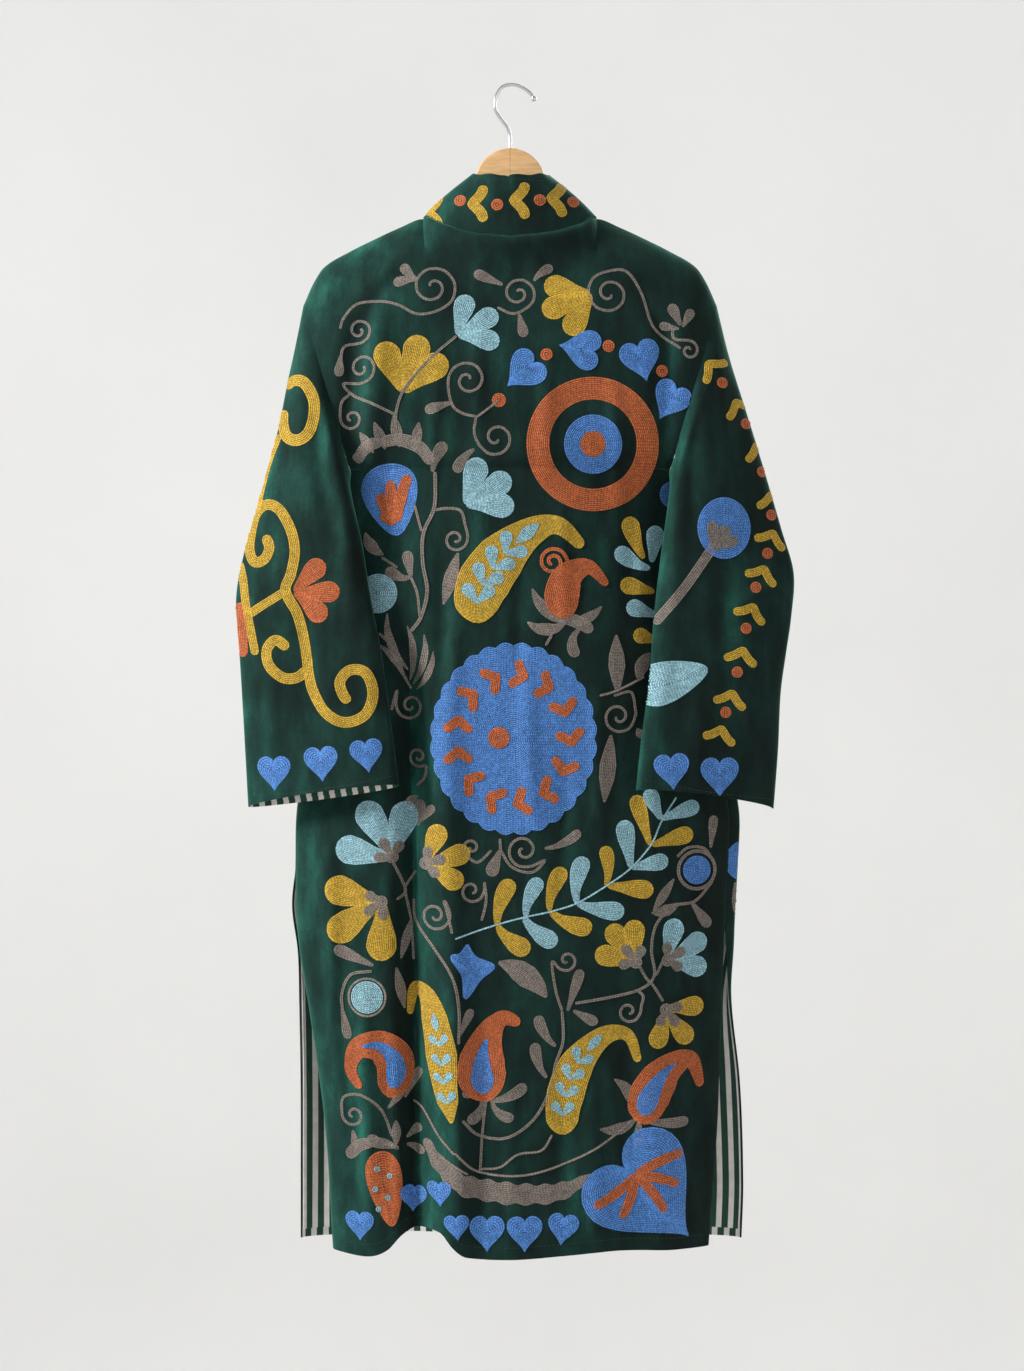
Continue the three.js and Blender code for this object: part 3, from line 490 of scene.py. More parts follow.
def cloth(name, grid, normals, offsets, materials, closed=False):
    """A closed cloth wall: its face and its back lie at two offsets from the
    grid. materials are those of the face and of the back."""
    rows, cols = grid.shape[:2]
    size = rows * cols
    points = np.concatenate([(grid + normals * offset).reshape(-1, 3) for offset in offsets])
    across = run_along(grid[-1])[None, :]
    down = run_along(grid[:, cols // 2])[:, None]
    flat = np.stack(np.broadcast_arrays(across, down), axis=-1).reshape(-1, 2) * MM
    flat = np.concatenate([flat, flat])
    face = grid_quads(rows, cols, closed)
    parts = [face, face[:, ::-1] + size]
    index = np.arange(size).reshape(rows, cols)
    borders = [(index[0], 1), (index[-1], -1)]
    if closed:
        borders = [(np.append(line, line[0]), way) for line, way in borders]
    else:
        borders += [(index[:, 0], -1), (index[:, -1], 1)]
    for line, way in borders:
        edge = np.stack([line[:-1], line[1:], line[1:] + size, line[:-1] + size], axis=1)
        parts.append(edge[:, ::way])
    picks = np.concatenate([np.full(len(p), 1 if i == 1 else 0) for i, p in enumerate(parts)])
    quads = np.concatenate(parts)
    if signed_volume(points, quads) < 0:
        quads = quads[:, ::-1]
    made = mesh_object(name, points, quads, materials, picks, flat[quads].reshape(-1, 2))
    sharpen(made)
    return made


def sharpen(made, degrees=40):
    """Keeps the edges sharp where faces turn by more than an angle."""
    made.data.set_sharp_from_angle(angle=math.radians(degrees))

# ------------------------------------------------------------- materials --


def linear(red, green, blue):
    """A colour on the 0 to 255 scale of a screen, as Blender's light values."""
    def one(value):
        value /= 255
        return value / 12.92 if value <= 0.04045 else ((value + 0.055) / 1.055) ** 2.4
    return (one(red), one(green), one(blue), 1)


class Shader:
    """A material's nodes, wired by short calls."""

    def __init__(self, name):
        self.material = bpy.data.materials.new(name)
        self.material.use_nodes = True
        self.tree = self.material.node_tree
        self.out = self.tree.nodes["Principled BSDF"]

    def node(self, kind, inputs=(), **settings):
        made = self.tree.nodes.new(kind)
        for key, value in settings.items():
            setattr(made, key, value)
        for key, value in dict(inputs).items():
            if isinstance(value, bpy.types.NodeSocket):
                self.tree.links.new(value, made.inputs[key])
            else:
                made.inputs[key].default_value = value
        return made

    def place(self, scale=(1, 1, 1)):
        where = self.node("ShaderNodeTexCoord").outputs["Object"]
        return self.node("ShaderNodeMapping", {"Vector": where, "Scale": scale}).outputs[0]

    def noise(self, vector, scale, detail=3, rough=0.55):
        inputs = {"Vector": vector, "Scale": scale, "Detail": detail, "Roughness": rough}
        return self.node("ShaderNodeTexNoise", inputs).outputs["Fac"]

    def math(self, operation, *values):
        return self.node("ShaderNodeMath", dict(enumerate(values)), operation=operation).outputs[0]

    def ramp(self, fac, stops):
        made = self.node("ShaderNodeValToRGB", {"Fac": fac})
        made.color_ramp.elements[0].position = stops[0][0]
        made.color_ramp.elements[0].color = stops[0][1]
        made.color_ramp.elements[1].position = stops[-1][0]
        made.color_ramp.elements[1].color = stops[-1][1]
        for position, colour in stops[1:-1]:
            made.color_ramp.elements.new(position).color = colour
        return made.outputs["Color"]

    def mix(self, fac, a, b, blend="MIX"):
        made = self.node("ShaderNodeMix", data_type="RGBA", blend_type=blend)
        for index, value in ((0, fac), (6, a), (7, b)):
            if isinstance(value, bpy.types.NodeSocket):
                self.tree.links.new(value, made.inputs[index])
            else:
                made.inputs[index].default_value = value
        return made.outputs[2]

    def shade(self, fac, *stops):
        """A ramp of factors. Each is one number, or three for a tint."""
        return self.ramp(fac, [
            (at, (*(value if isinstance(value, tuple) else (value,) * 3), 1)) for at, value in stops])

    def tint(self, colour, factor):
        return self.mix(1.0, colour, factor, "MULTIPLY")

    def between(self, fac, low, high):
        return self.node("ShaderNodeMapRange", {"Value": fac, "To Min": low, "To Max": high}).outputs[0]

    def rows_uv(self):
        """The two coordinates of the UV map."""
        uv = self.node("ShaderNodeUVMap", uv_map="rows").outputs[0]
        split = self.node("ShaderNodeSeparateXYZ", {0: uv})
        return split.outputs[0], split.outputs[1]

    def bump(self, height, strength, distance, below=None):
        inputs = {"Height": height, "Strength": strength, "Distance": distance}
        if below is not None:
            inputs["Normal"] = below
        return self.node("ShaderNodeBump", inputs).outputs["Normal"]

    def finish(self, colour, roughness, normal=None, **constants):
        for key, value in (("Base Color", colour), ("Roughness", roughness), ("Normal", normal)):
            if isinstance(value, bpy.types.NodeSocket):
                self.tree.links.new(value, self.out.inputs[key])
            elif value is not None:
                self.out.inputs[key].default_value = value
        for key, value in constants.items():
            self.out.inputs[key.replace("_", " ")].default_value = value
        return self.material


PAINTED_LIGHT_SIDE = (-0.78, 0.0, 0.3)      # painted light: faces turned this way, towards the key light, are painted brighter, those turned away darker
STRIPE_PERIOD = 14 * MM
STRIPE_WHITE_SHARE = 0.46
THREAD_PITCH = 0.7 * MM
THREAD_PAINTED_HIGHLIGHT = 1.3                # painted highlight on the middle of a stitch, times its colour
THREAD_PAINTED_SHADE = 0.3                 # painted shade in the gaps between stitches
YARN_BUMP = 0.0004


def velvet_material():
    """Deep green pile: mottled by the nap, brighter where it is brushed, with painted light on faces turned
    towards the key light and painted shade on faces turned away.
    """
    shader = Shader("velvet")
    place = shader.place()
    brushed = shader.noise(shader.place((1, 1, 0.45)), 34, 4, 0.62)
    fine = shader.noise(place, 420, 3, 0.6)
    pile = shader.noise(place, 1500, 2, 0.7)
    streak = shader.noise(shader.place((1, 1, 0.16)), 26, 3, 0.55)
    colour = shader.ramp(brushed, [
        (0.34, linear(4, 27, 24)), (0.5, linear(6, 37, 33)), (0.68, linear(12, 53, 46))])
    colour = shader.tint(colour, shader.shade(fine, (0.3, 0.78), (0.7, 1.2)))
    colour = shader.tint(colour, shader.shade(
        streak, (0.38, 0.68), (0.55, 0.97), (0.72, (1.9, 1.85, 1.8))))
    # Painted light and shade: the colour is multiplied by up to 3.3 on faces turned to the key light at the
    # left, and by down to 0.4 on faces turned away.
    facing_light = shader.node("ShaderNodeTexCoord").outputs["Normal"]
    facing_light = shader.node(
        "ShaderNodeVectorMath", {0: facing_light, 1: PAINTED_LIGHT_SIDE}, operation="DOT_PRODUCT").outputs["Value"]
    colour = shader.tint(colour, shader.shade(
        shader.math("MULTIPLY_ADD", facing_light, 0.5, 0.5),
        (0.2, 0.4), (0.4, 0.62), (0.5, 0.95), (0.62, (1.5, 1.44, 1.42)), (0.8, (3.3, 2.9, 2.8))))
    normal = shader.bump(brushed, 0.35, 0.004)
    normal = shader.bump(fine, 0.25, 0.0008, normal)
    normal = shader.bump(pile, 0.35, 0.0003, normal)
    return shader.finish(
        colour, shader.between(brushed, 0.95, 0.72), normal, Sheen_Weight=0.85, Sheen_Roughness=0.34,
        Sheen_Tint=linear(118, 214, 186), Specular_IOR_Level=0.2)


def lining_material():
    """Cotton in green and off-white stripes that run down the cloth."""
    shader = Shader("striped_lining")
    across, down = shader.rows_uv()
    wobble = shader.math("MULTIPLY", shader.noise(shader.place((1, 1, 0.2)), 60), 0.05)
    share = shader.math("FRACT", shader.math("ADD", shader.math("DIVIDE", across, STRIPE_PERIOD), wobble))
    white = shader.math("LESS_THAN", share, STRIPE_WHITE_SHARE)
    weave = shader.math("MULTIPLY", *(
        shader.math("SINE", shader.math("MULTIPLY", way, 2 * math.pi / THREAD_PITCH))
        for way in (across, down)))
    tone = shader.shade(shader.noise(shader.place(), 90, 4), (0.3, 0.86), (0.7, 1.06))
    colour = shader.tint(shader.mix(white, linear(20, 66, 52), linear(230, 226, 220)), tone)
    normal = shader.bump(weave, 0.35, 0.0003)
    normal = shader.bump(shader.noise(shader.place(), 45, 3), 0.3, 0.003, normal)
    return shader.finish(colour, 0.82, normal, Sheen_Weight=0.15, Sheen_Roughness=0.4)


def thread_material(name, colour):
    """Matt cotton yarn. The rows' UV gives the stitch along and across, for a painted highlight on each
    stitch's middle and painted shade in the gaps.
    """
    shader = Shader("thread_" + name)
    along_row, across_row = shader.rows_uv()
    from_middle = shader.math("ABSOLUTE", across_row)
    link = shader.math("ABSOLUTE", shader.math("SUBTRACT", shader.math("FRACT", along_row), 0.5))
    grain = shader.noise(shader.place(), 1300, 2, 0.6)
    patch = shader.noise(shader.place(), 120, 3, 0.6)
    stitch = shader.noise(shader.place(), 420, 2, 0.7)
    # Painted shade towards a row's edges and a link's ends, and a painted highlight on the middle of each
    # stitch.
    depth = shader.math("MULTIPLY", from_middle, from_middle)
    depth = shader.math("ADD", depth, shader.math("MULTIPLY", link, 0.9))
    depth = shader.math("ADD", depth, shader.math("MULTIPLY", shader.math("SUBTRACT", grain, 0.5), 1.3))
    base = linear(*colour)[:3]
    toned = shader.shade(
        depth, (0.0, tuple(min(1, value * THREAD_PAINTED_HIGHLIGHT + 0.02) for value in base)), (0.42, base),
        (0.958, tuple(value * THREAD_PAINTED_SHADE for value in base)))
    toned = shader.tint(toned, shader.shade(patch, (0.3, 0.84), (0.7, 1.1)))
    toned = shader.tint(toned, shader.shade(stitch, (0.38, 0.62), (0.62, 1.16)))
    return shader.finish(
        toned, 0.78, shader.bump(grain, 0.5, YARN_BUMP), Sheen_Weight=0.2, Sheen_Roughness=0.4)


def wood_material():
    """Pale beech under satin lacquer, with the joint in the middle."""
    shader = Shader("beech")
    grain = shader.noise(shader.place((0.12, 1, 1)), 260, 5, 0.65)
    broad = shader.noise(shader.place((0.3, 1, 1)), 40, 3)
    colour = shader.ramp(grain, [(0.3, linear(205, 160, 108)), (0.7, linear(232, 194, 144))])
    colour = shader.tint(colour, shader.shade(broad, (0.3, (0.86, 0.82, 0.78)), (0.7, (1.05, 1.04, 1.02))))
    across = shader.node("ShaderNodeSeparateXYZ", {0: shader.place()}).outputs[0]
    joint = shader.math("LESS_THAN", shader.math("ABSOLUTE", across), 0.0003)
    colour = shader.mix(shader.math("MULTIPLY", joint, 0.6), colour, linear(120, 80, 45))
    return shader.finish(
        colour, shader.between(grain, 0.32, 0.48), shader.bump(grain, 0.2, 0.0002),
        Coat_Weight=0.25, Coat_Roughness=0.25)


def steel_material():
    shader = Shader("polished_steel")
    fine = shader.noise(shader.place(), 900, 3)
    colour = shader.shade(fine, (0.3, (0.62, 0.63, 0.65)), (0.7, (0.78, 0.79, 0.81)))
    return shader.finish(colour, shader.between(fine, 0.1, 0.24), Metallic=1.0)


VELVET = velvet_material()
LINING = lining_material()
THREADS = {
    "yellow": thread_material("yellow", (198, 160, 38)),
    "lightblue": thread_material("lightblue", (146, 192, 206)),
    "blue": thread_material("blue", (72, 130, 204)),
    "orange": thread_material("orange", (190, 96, 44)),
    "grey": thread_material("grey", (128, 118, 110)),
    "seam": thread_material("seam", (14, 46, 36)),
}

# ------------------------------------------------------------- the jacket --

# Stations are closer at the sides, where the body turns.
back_s = np.sin(np.linspace(-1, 1, BACK_COLUMNS + 1) * np.pi / 2)
front_s = np.sin(np.linspace(2 / np.pi * math.asin(FRONT_EDGE_SHARE), 1, FRONT_COLUMNS + 1) * np.pi / 2)
SURFACES = {}


def make_piece(name, grid, normals, faces, wall=VELVET_WALL, closed=False):
    """A velvet piece in place of its solid. faces names the surfaces that it
    gives to the needlework: -1 is sewn from -Y, and 1 from +Y."""
    half = wall / 2
    made = cloth(f"{name}_velvet", grid, normals, (half, -half), [VELVET, LINING], closed)
    points = (grid + normals * half).reshape(-1, 3)
    tree = BVHTree.FromPolygons(points.tolist(), grid_quads(*grid.shape[:2], closed).tolist())
    for surface, side in faces.items():
        SURFACES[surface] = (tree, side)
    return made


def make_lining(name, node, grid, normals, part, closed=False):
    """The striped lining behind a part of a velvet piece."""
    near = VELVET_WALL / 2 + LINING_GAP
    offsets = (-near, -(near + LINING_WALL))
    made = cloth(name, grid[part], normals[part], offsets, [LINING, LINING], closed)
    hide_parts(node)
    return made


def make_back():
    grid = body_grid(-1, back_s, BACK_FOLDS, BACK_CREASES)
    made = make_piece("back", grid, normals_of(grid, (0, -1, 0)), {"back": -1})
    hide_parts("back_panel")
    return made


def make_front(side):
    name = "left" if side < 0 else "right"
    grid = body_grid(1, np.sort(side * front_s), FRONT_FOLDS, FRONT_CREASES)
    normals = normals_of(grid, (0, 1, 0))
    made = make_piece(f"front_{name}", grid, normals, {f"front_{name}": 1, f"front_{name}_side": -1})
    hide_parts(f"front_{name}")
    slit_row = YOKE_ROWS + math.ceil(BODY_ROWS * (ARMPIT_Z - SLIT_Z) / (ARMPIT_Z - HEM_Z))
    part = (slice(slit_row, -1, 2), slice(1, -1, 2))
    return made, make_lining(f"lining_{name}", f"lining_front_{name}", grid, normals, part)


def make_sleeve(name, sleeve, creases):
    grid = sleeve_grid(sleeve, creases)
    normals = normals_of(grid, grid - grid.mean(axis=1, keepdims=True), closed=True)
    faces = {f"sleeve_{name}": -1, f"sleeve_{name}_far": 1}
    made = make_piece(f"sleeve_{name}", grid, normals, faces, closed=True)
    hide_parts(f"sleeve_{name}")
    part = slice(int(SLEEVE_ROWS * CUFF_LINING_FROM), -1)
    return made, make_lining(f"cuff_{name}_lining", f"lining_cuff_{name}", grid, normals, part, closed=True)


def make_collar():
    grid = collar_grid()
    made = make_piece("collar", grid, normals_of(grid, grid * (1, 1, 0)), {"collar": -1}, COLLAR_WALL)
    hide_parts("collar")
    return made


back = make_back()
front_left, front_left_lining = make_front(-1)
front_right, front_right_lining = make_front(1)
sleeve_left, cuff_left_lining = make_sleeve("left", SLEEVE_LEFT, SLEEVE_LEFT_CREASES)
sleeve_right, cuff_right_lining = make_sleeve("right", SLEEVE_RIGHT, SLEEVE_RIGHT_CREASES)
collar = make_collar()

# ---------------------------------------------------------- needlework ----

ROW_WIDTH = 2.1                   # one row of chain stitch
HALF_LINK = 1.7                   # half the length of one chain
STITCH_FOOT = 0.2                 # a row's edges above the pile
STITCH_HEIGHT = 0.95              # a row's middle above the pile
LINK_RELIEF = 0.22
ROW_END_RISE = 0.3                # a row's ends above its foot
SHORTEST_ROW = 2.55
THINNEST_ROW = 0.25               # half its width
LARGEST_STEP = 8                  # in the cloth under one stitch
REACH = 400                       # the needle starts this far from the cloth
OVER = 0.75                       # lifts a form that is sewn on another


class Needlework:
    """Rows of chain stitch on one face of the cloth."""

    def __init__(self, surface):
        self.surface = surface
        self.rows = {}

    def chain(self, colour, path, half_width, lift=0.0):
        """One row along a path of (x, z), with its half width at each point."""
        joined = np.column_stack([path, np.broadcast_to(half_width, len(path))])
        if run_along(path)[-1] < SHORTEST_ROW:
            return
        joined = evenly(joined, HALF_LINK, even_count=True)
        row = (joined[:, :2], np.maximum(joined[:, 2], THINNEST_ROW), lift)
        self.rows.setdefault(colour, []).append(row)

    def band(self, colour, spine, width, shape=None, lift=0.0, rounded=True):
        """Rows side by side along a spine. shape gives the relative width
        at shares of the length."""
        path = smooth_path(spine)
        length = len(path) - 1
        share = np.linspace(0, 1, len(path))
        half_width = width / 2 * (np.ones(len(path)) if shape is None else shape(share))
        if rounded:
            end = np.minimum(share, 1 - share) * length / np.maximum(half_width, 0.5)
            half_width = half_width * np.sqrt(np.clip(1 - (1 - np.clip(end, 0, 1)) ** 2, 0.03, 1))
        ahead = np.gradient(path, axis=0)
        ahead /= np.linalg.norm(ahead, axis=1, keepdims=True)
        aside = np.stack([-ahead[:, 1], ahead[:, 0]], axis=1)
        count = max(1, round(width / ROW_WIDTH))
        for k in range(count):
            offset = (2 * k + 1) / count - 1
            self.chain(colour, path + aside * (half_width * offset)[:, None], half_width / count, lift)

    def rings(self, colour, outline, inner=0.0, lift=0.0):
        """Closed rows inside a closed outline, one within another, down to
        inner, a share of its size."""
        outline = np.vstack([outline, outline[:1]])
        centre = (outline.max(axis=0) + outline.min(axis=0)) / 2
        reach = np.linalg.norm(outline - centre, axis=1)
        count = max(1, round(reach.mean() * (1 - inner) / ROW_WIDTH))
        for k in range(count):
            share = 1 - (1 - inner) * (k + 0.5) / count
            self.chain(colour, centre + (outline - centre) * share, reach * (1 - inner) / (2 * count), lift)

    def build(self, prefix, split=False):
        """Lays the rows on the cloth as one object, or one for each colour."""
        groups = [[c] for c in self.rows] if split else [list(self.rows)]
        made = []
        for colours in groups:
            name = f"{prefix}_{colours[0]}" if split else prefix
            made.append(self.lay(name, colours))
        return made

    def lay(self, name, colours):
        tree, side = SURFACES[self.surface]
        all_points, all_quads, all_uvs, picks = [], [], [], []
        start = 0
        for index, colour in enumerate(colours):
            for path, half_width, lift in self.rows[colour]:
                points, quads, uvs = lay_row(tree, side, path, half_width, lift)
                if not len(quads):
                    continue
                all_points.append(points)
                all_quads.append(quads + start)
                all_uvs.append(uvs[quads].reshape(-1, 2))
                picks.append(np.full(len(quads), index))
                start += len(points)
        made = mesh_object(
            name, np.concatenate(all_points), np.concatenate(all_quads),
            [THREADS[c] for c in colours], np.concatenate(picks), np.concatenate(all_uvs))
        return made


def lay_row(tree, side, path, half_width, lift):
    """The points, quads and UVs of one row, on the cloth."""
    ahead = np.gradient(path, axis=0)
    ahead /= np.maximum(np.linalg.norm(ahead, axis=1, keepdims=True), 1e-6)
    aside = np.stack([-ahead[:, 1], ahead[:, 0]], axis=1) * half_width[:, None]
    count = len(path)
    link = np.where(np.arange(count) % 2 == 0, -LINK_RELIEF, LINK_RELIEF)
    thin = np.clip(half_width / (ROW_WIDTH / 2), 0.4, 1)
    middle = STITCH_FOOT + (STITCH_HEIGHT - STITCH_FOOT + link) * thin
    middle[[0, -1]] = STITCH_FOOT + ROW_END_RISE
    foot = np.full(count, STITCH_FOOT)
    points = np.zeros((3 * count, 3))
    hit_all = np.ones(3 * count, bool)
    for k, (line, height) in enumerate(((path - aside, foot), (path, middle), (path + aside, foot))):
        for i, (x, z) in enumerate(line):
            place, normal = tree.ray_cast(Vector((x, side * REACH, z)), Vector((0, -side, 0)))[:2]
            if place is None:
                hit_all[3 * i + k] = False
                continue
            if normal.y * side < 0:
                normal = -normal
            points[3 * i + k] = place + normal * (height[i] + lift)
    base = 3 * np.arange(count - 1)
    quads = np.concatenate([
        np.stack([base + k, base + k + 1, base + k + 4, base + k + 3], axis=1) for k in (0, 1)])
    quads = quads[hit_all[quads].all(axis=1)]
    # No quad spans a step in the cloth, such as the edge of a fold.
    spread = np.ptp(points[quads][..., 1], axis=1)
    quads = quads[spread < LARGEST_STEP]
    if len(quads):
        a, b, c = (points[quads[0, k]] for k in range(3))
        if np.cross(b - a, c - a)[1] * side < 0:
            quads = quads[:, ::-1]
    run = np.arange(count) / 2
    uvs = np.stack([np.repeat(run, 3), np.tile([-1.0, 0.0, 1.0], count)], axis=1)
    return points, quads, uvs

# -------------------------------------------------------------- motifs ----


def shape_of(*pairs):
    shares, widths = zip(*pairs)
    return lambda t: np.interp(t, shares, widths)


CLUB = shape_of((0, 0.28), (0.3, 0.55), (0.6, 0.92), (0.78, 1), (1, 0.9))
LENS = shape_of((0, 0.16), (0.2, 0.62), (0.45, 1), (0.65, 0.9), (0.85, 0.5), (1, 0.12))
EVEN = shape_of((0, 0.8), (0.5, 1), (1, 0.8))
PAISLEY = shape_of((0, 0.6), (0.08, 0.84), (0.25, 1), (0.42, 0.92), (0.6, 0.62), (0.78, 0.36), (1, 0.2))
SLIM = shape_of((0, 0.1), (0.12, 0.66), (0.4, 1), (0.62, 0.84), (0.8, 0.46), (1, 0.2))
DROP = shape_of((0, 0.7), (0.25, 1), (0.55, 0.72), (1, 0.12))
SHAPES = {"club": CLUB, "lens": LENS, "even": EVEN}


def turned(points, degrees, x=0.0, z=0.0):
    c = math.cos(math.radians(degrees))
    s = math.sin(math.radians(degrees))
    points = np.array(points, float)
    return (x, z) + points @ np.array([[c, s], [-s, c]])


def leaf(work, colour, kind, x, z, length, width, angle, bend=0.0, lift=0.0):
    bow = bend * length * 0.8
    spine = [(0, 0), (length * 0.3, bow), (length * 0.7, bow), (length, 0)]
    work.band(colour, turned(spine, angle, x, z), width, SHAPES[kind], lift)


def spiral(work, colour, x, z, radius, turns, hand, tail, width=3.2):
    """A spiral from its middle out, that runs on into a tail."""
    reach = max(math.hypot(tail[0][0] - x, tail[0][1] - z), radius * 1.02)
    end = math.atan2(tail[0][1] - z, tail[0][0] - x) - hand * math.acos(radius / reach)
    t = np.linspace(0, 1, 10 + int(18 * turns))
    angle = end - hand * 2 * np.pi * turns * (1 - t)
    out = radius * (0.1 + 0.9 * t**0.9)
    curl = np.stack([x + out * np.cos(angle), z + out * np.sin(angle)], axis=1)[::-3][::-1]
    work.band(colour, [*curl.tolist(), *tail], width)


def disc(work, colour, x, z, inner, outer, lift=0.0, squash=1.0):
    turn = np.linspace(0, 2 * np.pi, max(10, int(outer * 1.6)), endpoint=False)
    outline = np.stack([x + outer * squash * np.cos(turn), z + outer * np.sin(turn)], axis=1)
    work.rings(colour, outline, inner / outer, lift)


def heart(work, colour, x, z, size, tip, lift=0.0):
    t = np.linspace(0, 2 * np.pi, 46, endpoint=False)
    across = 0.49 * np.sin(t) ** 3
    up = (12.2 * np.cos(t) - 4.2 * np.cos(2 * t) - 1.6 * np.cos(3 * t) - 0.6 * np.cos(4 * t)) / 26
    work.rings(colour, turned(np.stack([across, up], axis=1) * size, tip + 90, x, z), 0, lift)


def drop(work, colour, x, z, width, height, tip, lift=0.0):
    """A round form with one soft point."""
    t = np.linspace(0, 2 * np.pi, 46, endpoint=False)
    across = width / 2 * np.sin(t) * np.sqrt(0.5 + 0.5 * np.cos(t * 0.5) ** 2) * (1 + 0.25 * np.cos(t))
    up = height / 2 * np.cos(t)
    work.rings(colour, turned(np.stack([across, up], axis=1), tip + 90, x, z), 0, lift)


PETAL_WIDTH = 0.48                # as a share of its flower's size


def flower(work, colour, x, z, size, angle, petals, spread, calyx=0):
    """Petals fanned from one point, with a calyx in grey at their foot."""
    for i in range(petals):
        aside = i / (petals - 1) - 0.5
        length = size * (1 - 0.16 * abs(aside) * (1 + 0.3 * (i % 2)))
        leaf(work, colour, "club", x, z, length, size * PETAL_WIDTH, angle + spread * aside,
             0.03 * (-1) ** i, 0.06 * i)
    if calyx:
        for i in range(3):
            leaf(work, "grey", "club", x, z, calyx * (0.95 if i == 1 else 0.8), calyx * 0.5,
                 angle + 62 * (i - 1), 0, 0.55 + 0.05 * i)
        disc(work, "grey", x, z, 0, calyx * 0.3, OVER)


def chevron(work, colour, x, z, size, angle, width, lift=0.0, depth=0.34):
    arms = [(-depth * size, -size / 2), (-0.1 * size, -size * 0.26), (0.1 * size, -0.03 * size),
            (0.1 * size, 0.03 * size), (-0.1 * size, size * 0.26), (-depth * size, size / 2)]
    work.band(colour, turned(arms, angle, x, z), width, None, lift)


PAISLEY_LIFT = 0.5
FILLING_LIFT = 1.2                # of the forms inside a paisley
VINE_LIFT = 0.5
HEART_LIFT = 0.35
FINGER_LIFT = 1.1                 # of the fingers on the large heart


def paisley(work, colour, width, filling, spine):
    work.band(colour, spine, width, SLIM if filling == "slim" else PAISLEY, PAISLEY_LIFT)
    path = smooth_path(spine)
    ahead = np.gradient(path, axis=0)
    heading = np.degrees(np.arctan2(ahead[:, 1], ahead[:, 0]))
    if filling == "drop":
        inner = path[int(len(path) * 0.08):int(len(path) * 0.62):6]
        work.band("blue", inner, width * 0.5, DROP, FILLING_LIFT)
    if filling in ("leaves", "slim"):
        for share in (0.12, 0.23, 0.34, 0.45):
            i = int(len(path) * share)
            for turn in (-40, 40):
                leaf(work, "lightblue", "club", *path[i], width * 0.42, width * 0.25,
                     heading[i] + turn, 0, FILLING_LIFT)
        i = int(len(path) * 0.54)
        leaf(work, "lightblue", "lens", *path[i], width * 0.55, width * 0.24, heading[i], 0, FILLING_LIFT)


# x, z, radius, turns, hand (1 winds out anticlockwise), and the path on from there
SPIRALS = [
    (-85, -232, 28, 1.7, -1, [(-103, -262), (-122, -252), (-144, -247), (-169, -250), (-183, -265),
        (-187, -277)]),
    (9, -239, 20, 1.6, -1, [(2, -262), (-14, -255)]),
    (109, -239, 26, 1.7, -1, [(129, -214), (145, -238), (158, -276), (188, -299)]),
    (197, -301, 11, 1.2, 1, [(181, -288), (179, -275)]),
    (-166, -279, 14, 1.4, -1, [(-183, -298), (-186, -321)]),
    (-163, -321, 17, 1.4, -1, [(-183, -338), (-173, -350), (-151, -361), (-125, -373)]),
    (-174, -376, 13, 1.3, -1, [(-185, -358), (-176, -349)]),
    (-46, -336, 22, 1.5, 1, [(-63, -363), (-52, -372), (-37, -376)]),
    (-15, -399, 20, 1.4, -1, [(-39, -393), (-37, -377)]),
    (-60, -509, 14, 1.4, 1, [(-49, -494), (-54, -478), (-69, -475), (-84, -477)]),
    (-110, -692, 16, 1.5, -1, [(-125, -675), (-131, -697)]),
    (119, -704, 19, 1.5, 1, [(138, -695), (133, -677), (114, -681)]),
    (15, -850, 19, 1.5, 1, [(38, -861), (24, -874), (2, -868), (-11, -848)]),
    (-42, -847, 10, 1.2, 1, [(-46, -857), (-35, -863), (-20, -850)]),
    (-42, -894, 14, 1.3, 1, [(-28, -885), (-26, -905), (-31, -927)]),
    (-82, -921, 18, 1.6, 1, [(-72, -905), (-68, -918), (-63, -940)]),
    (-101, -748, 11, 1.3, 1, [(-92, -758), (-94, -771), (-103, -780)]),
    (62, -970, 12, 1.2, -1, [(46, -972), (50, -1003), (57, -1025)]),
    (130, -1027, 13, 1.3, 1, [(144, -1021), (146, -1010), (138, -1003)]),
    (-172, -1142, 13, 1.3, -1, [(-183, -1123), (-162, -1120), (-141, -1136), (-129, -1165)])]
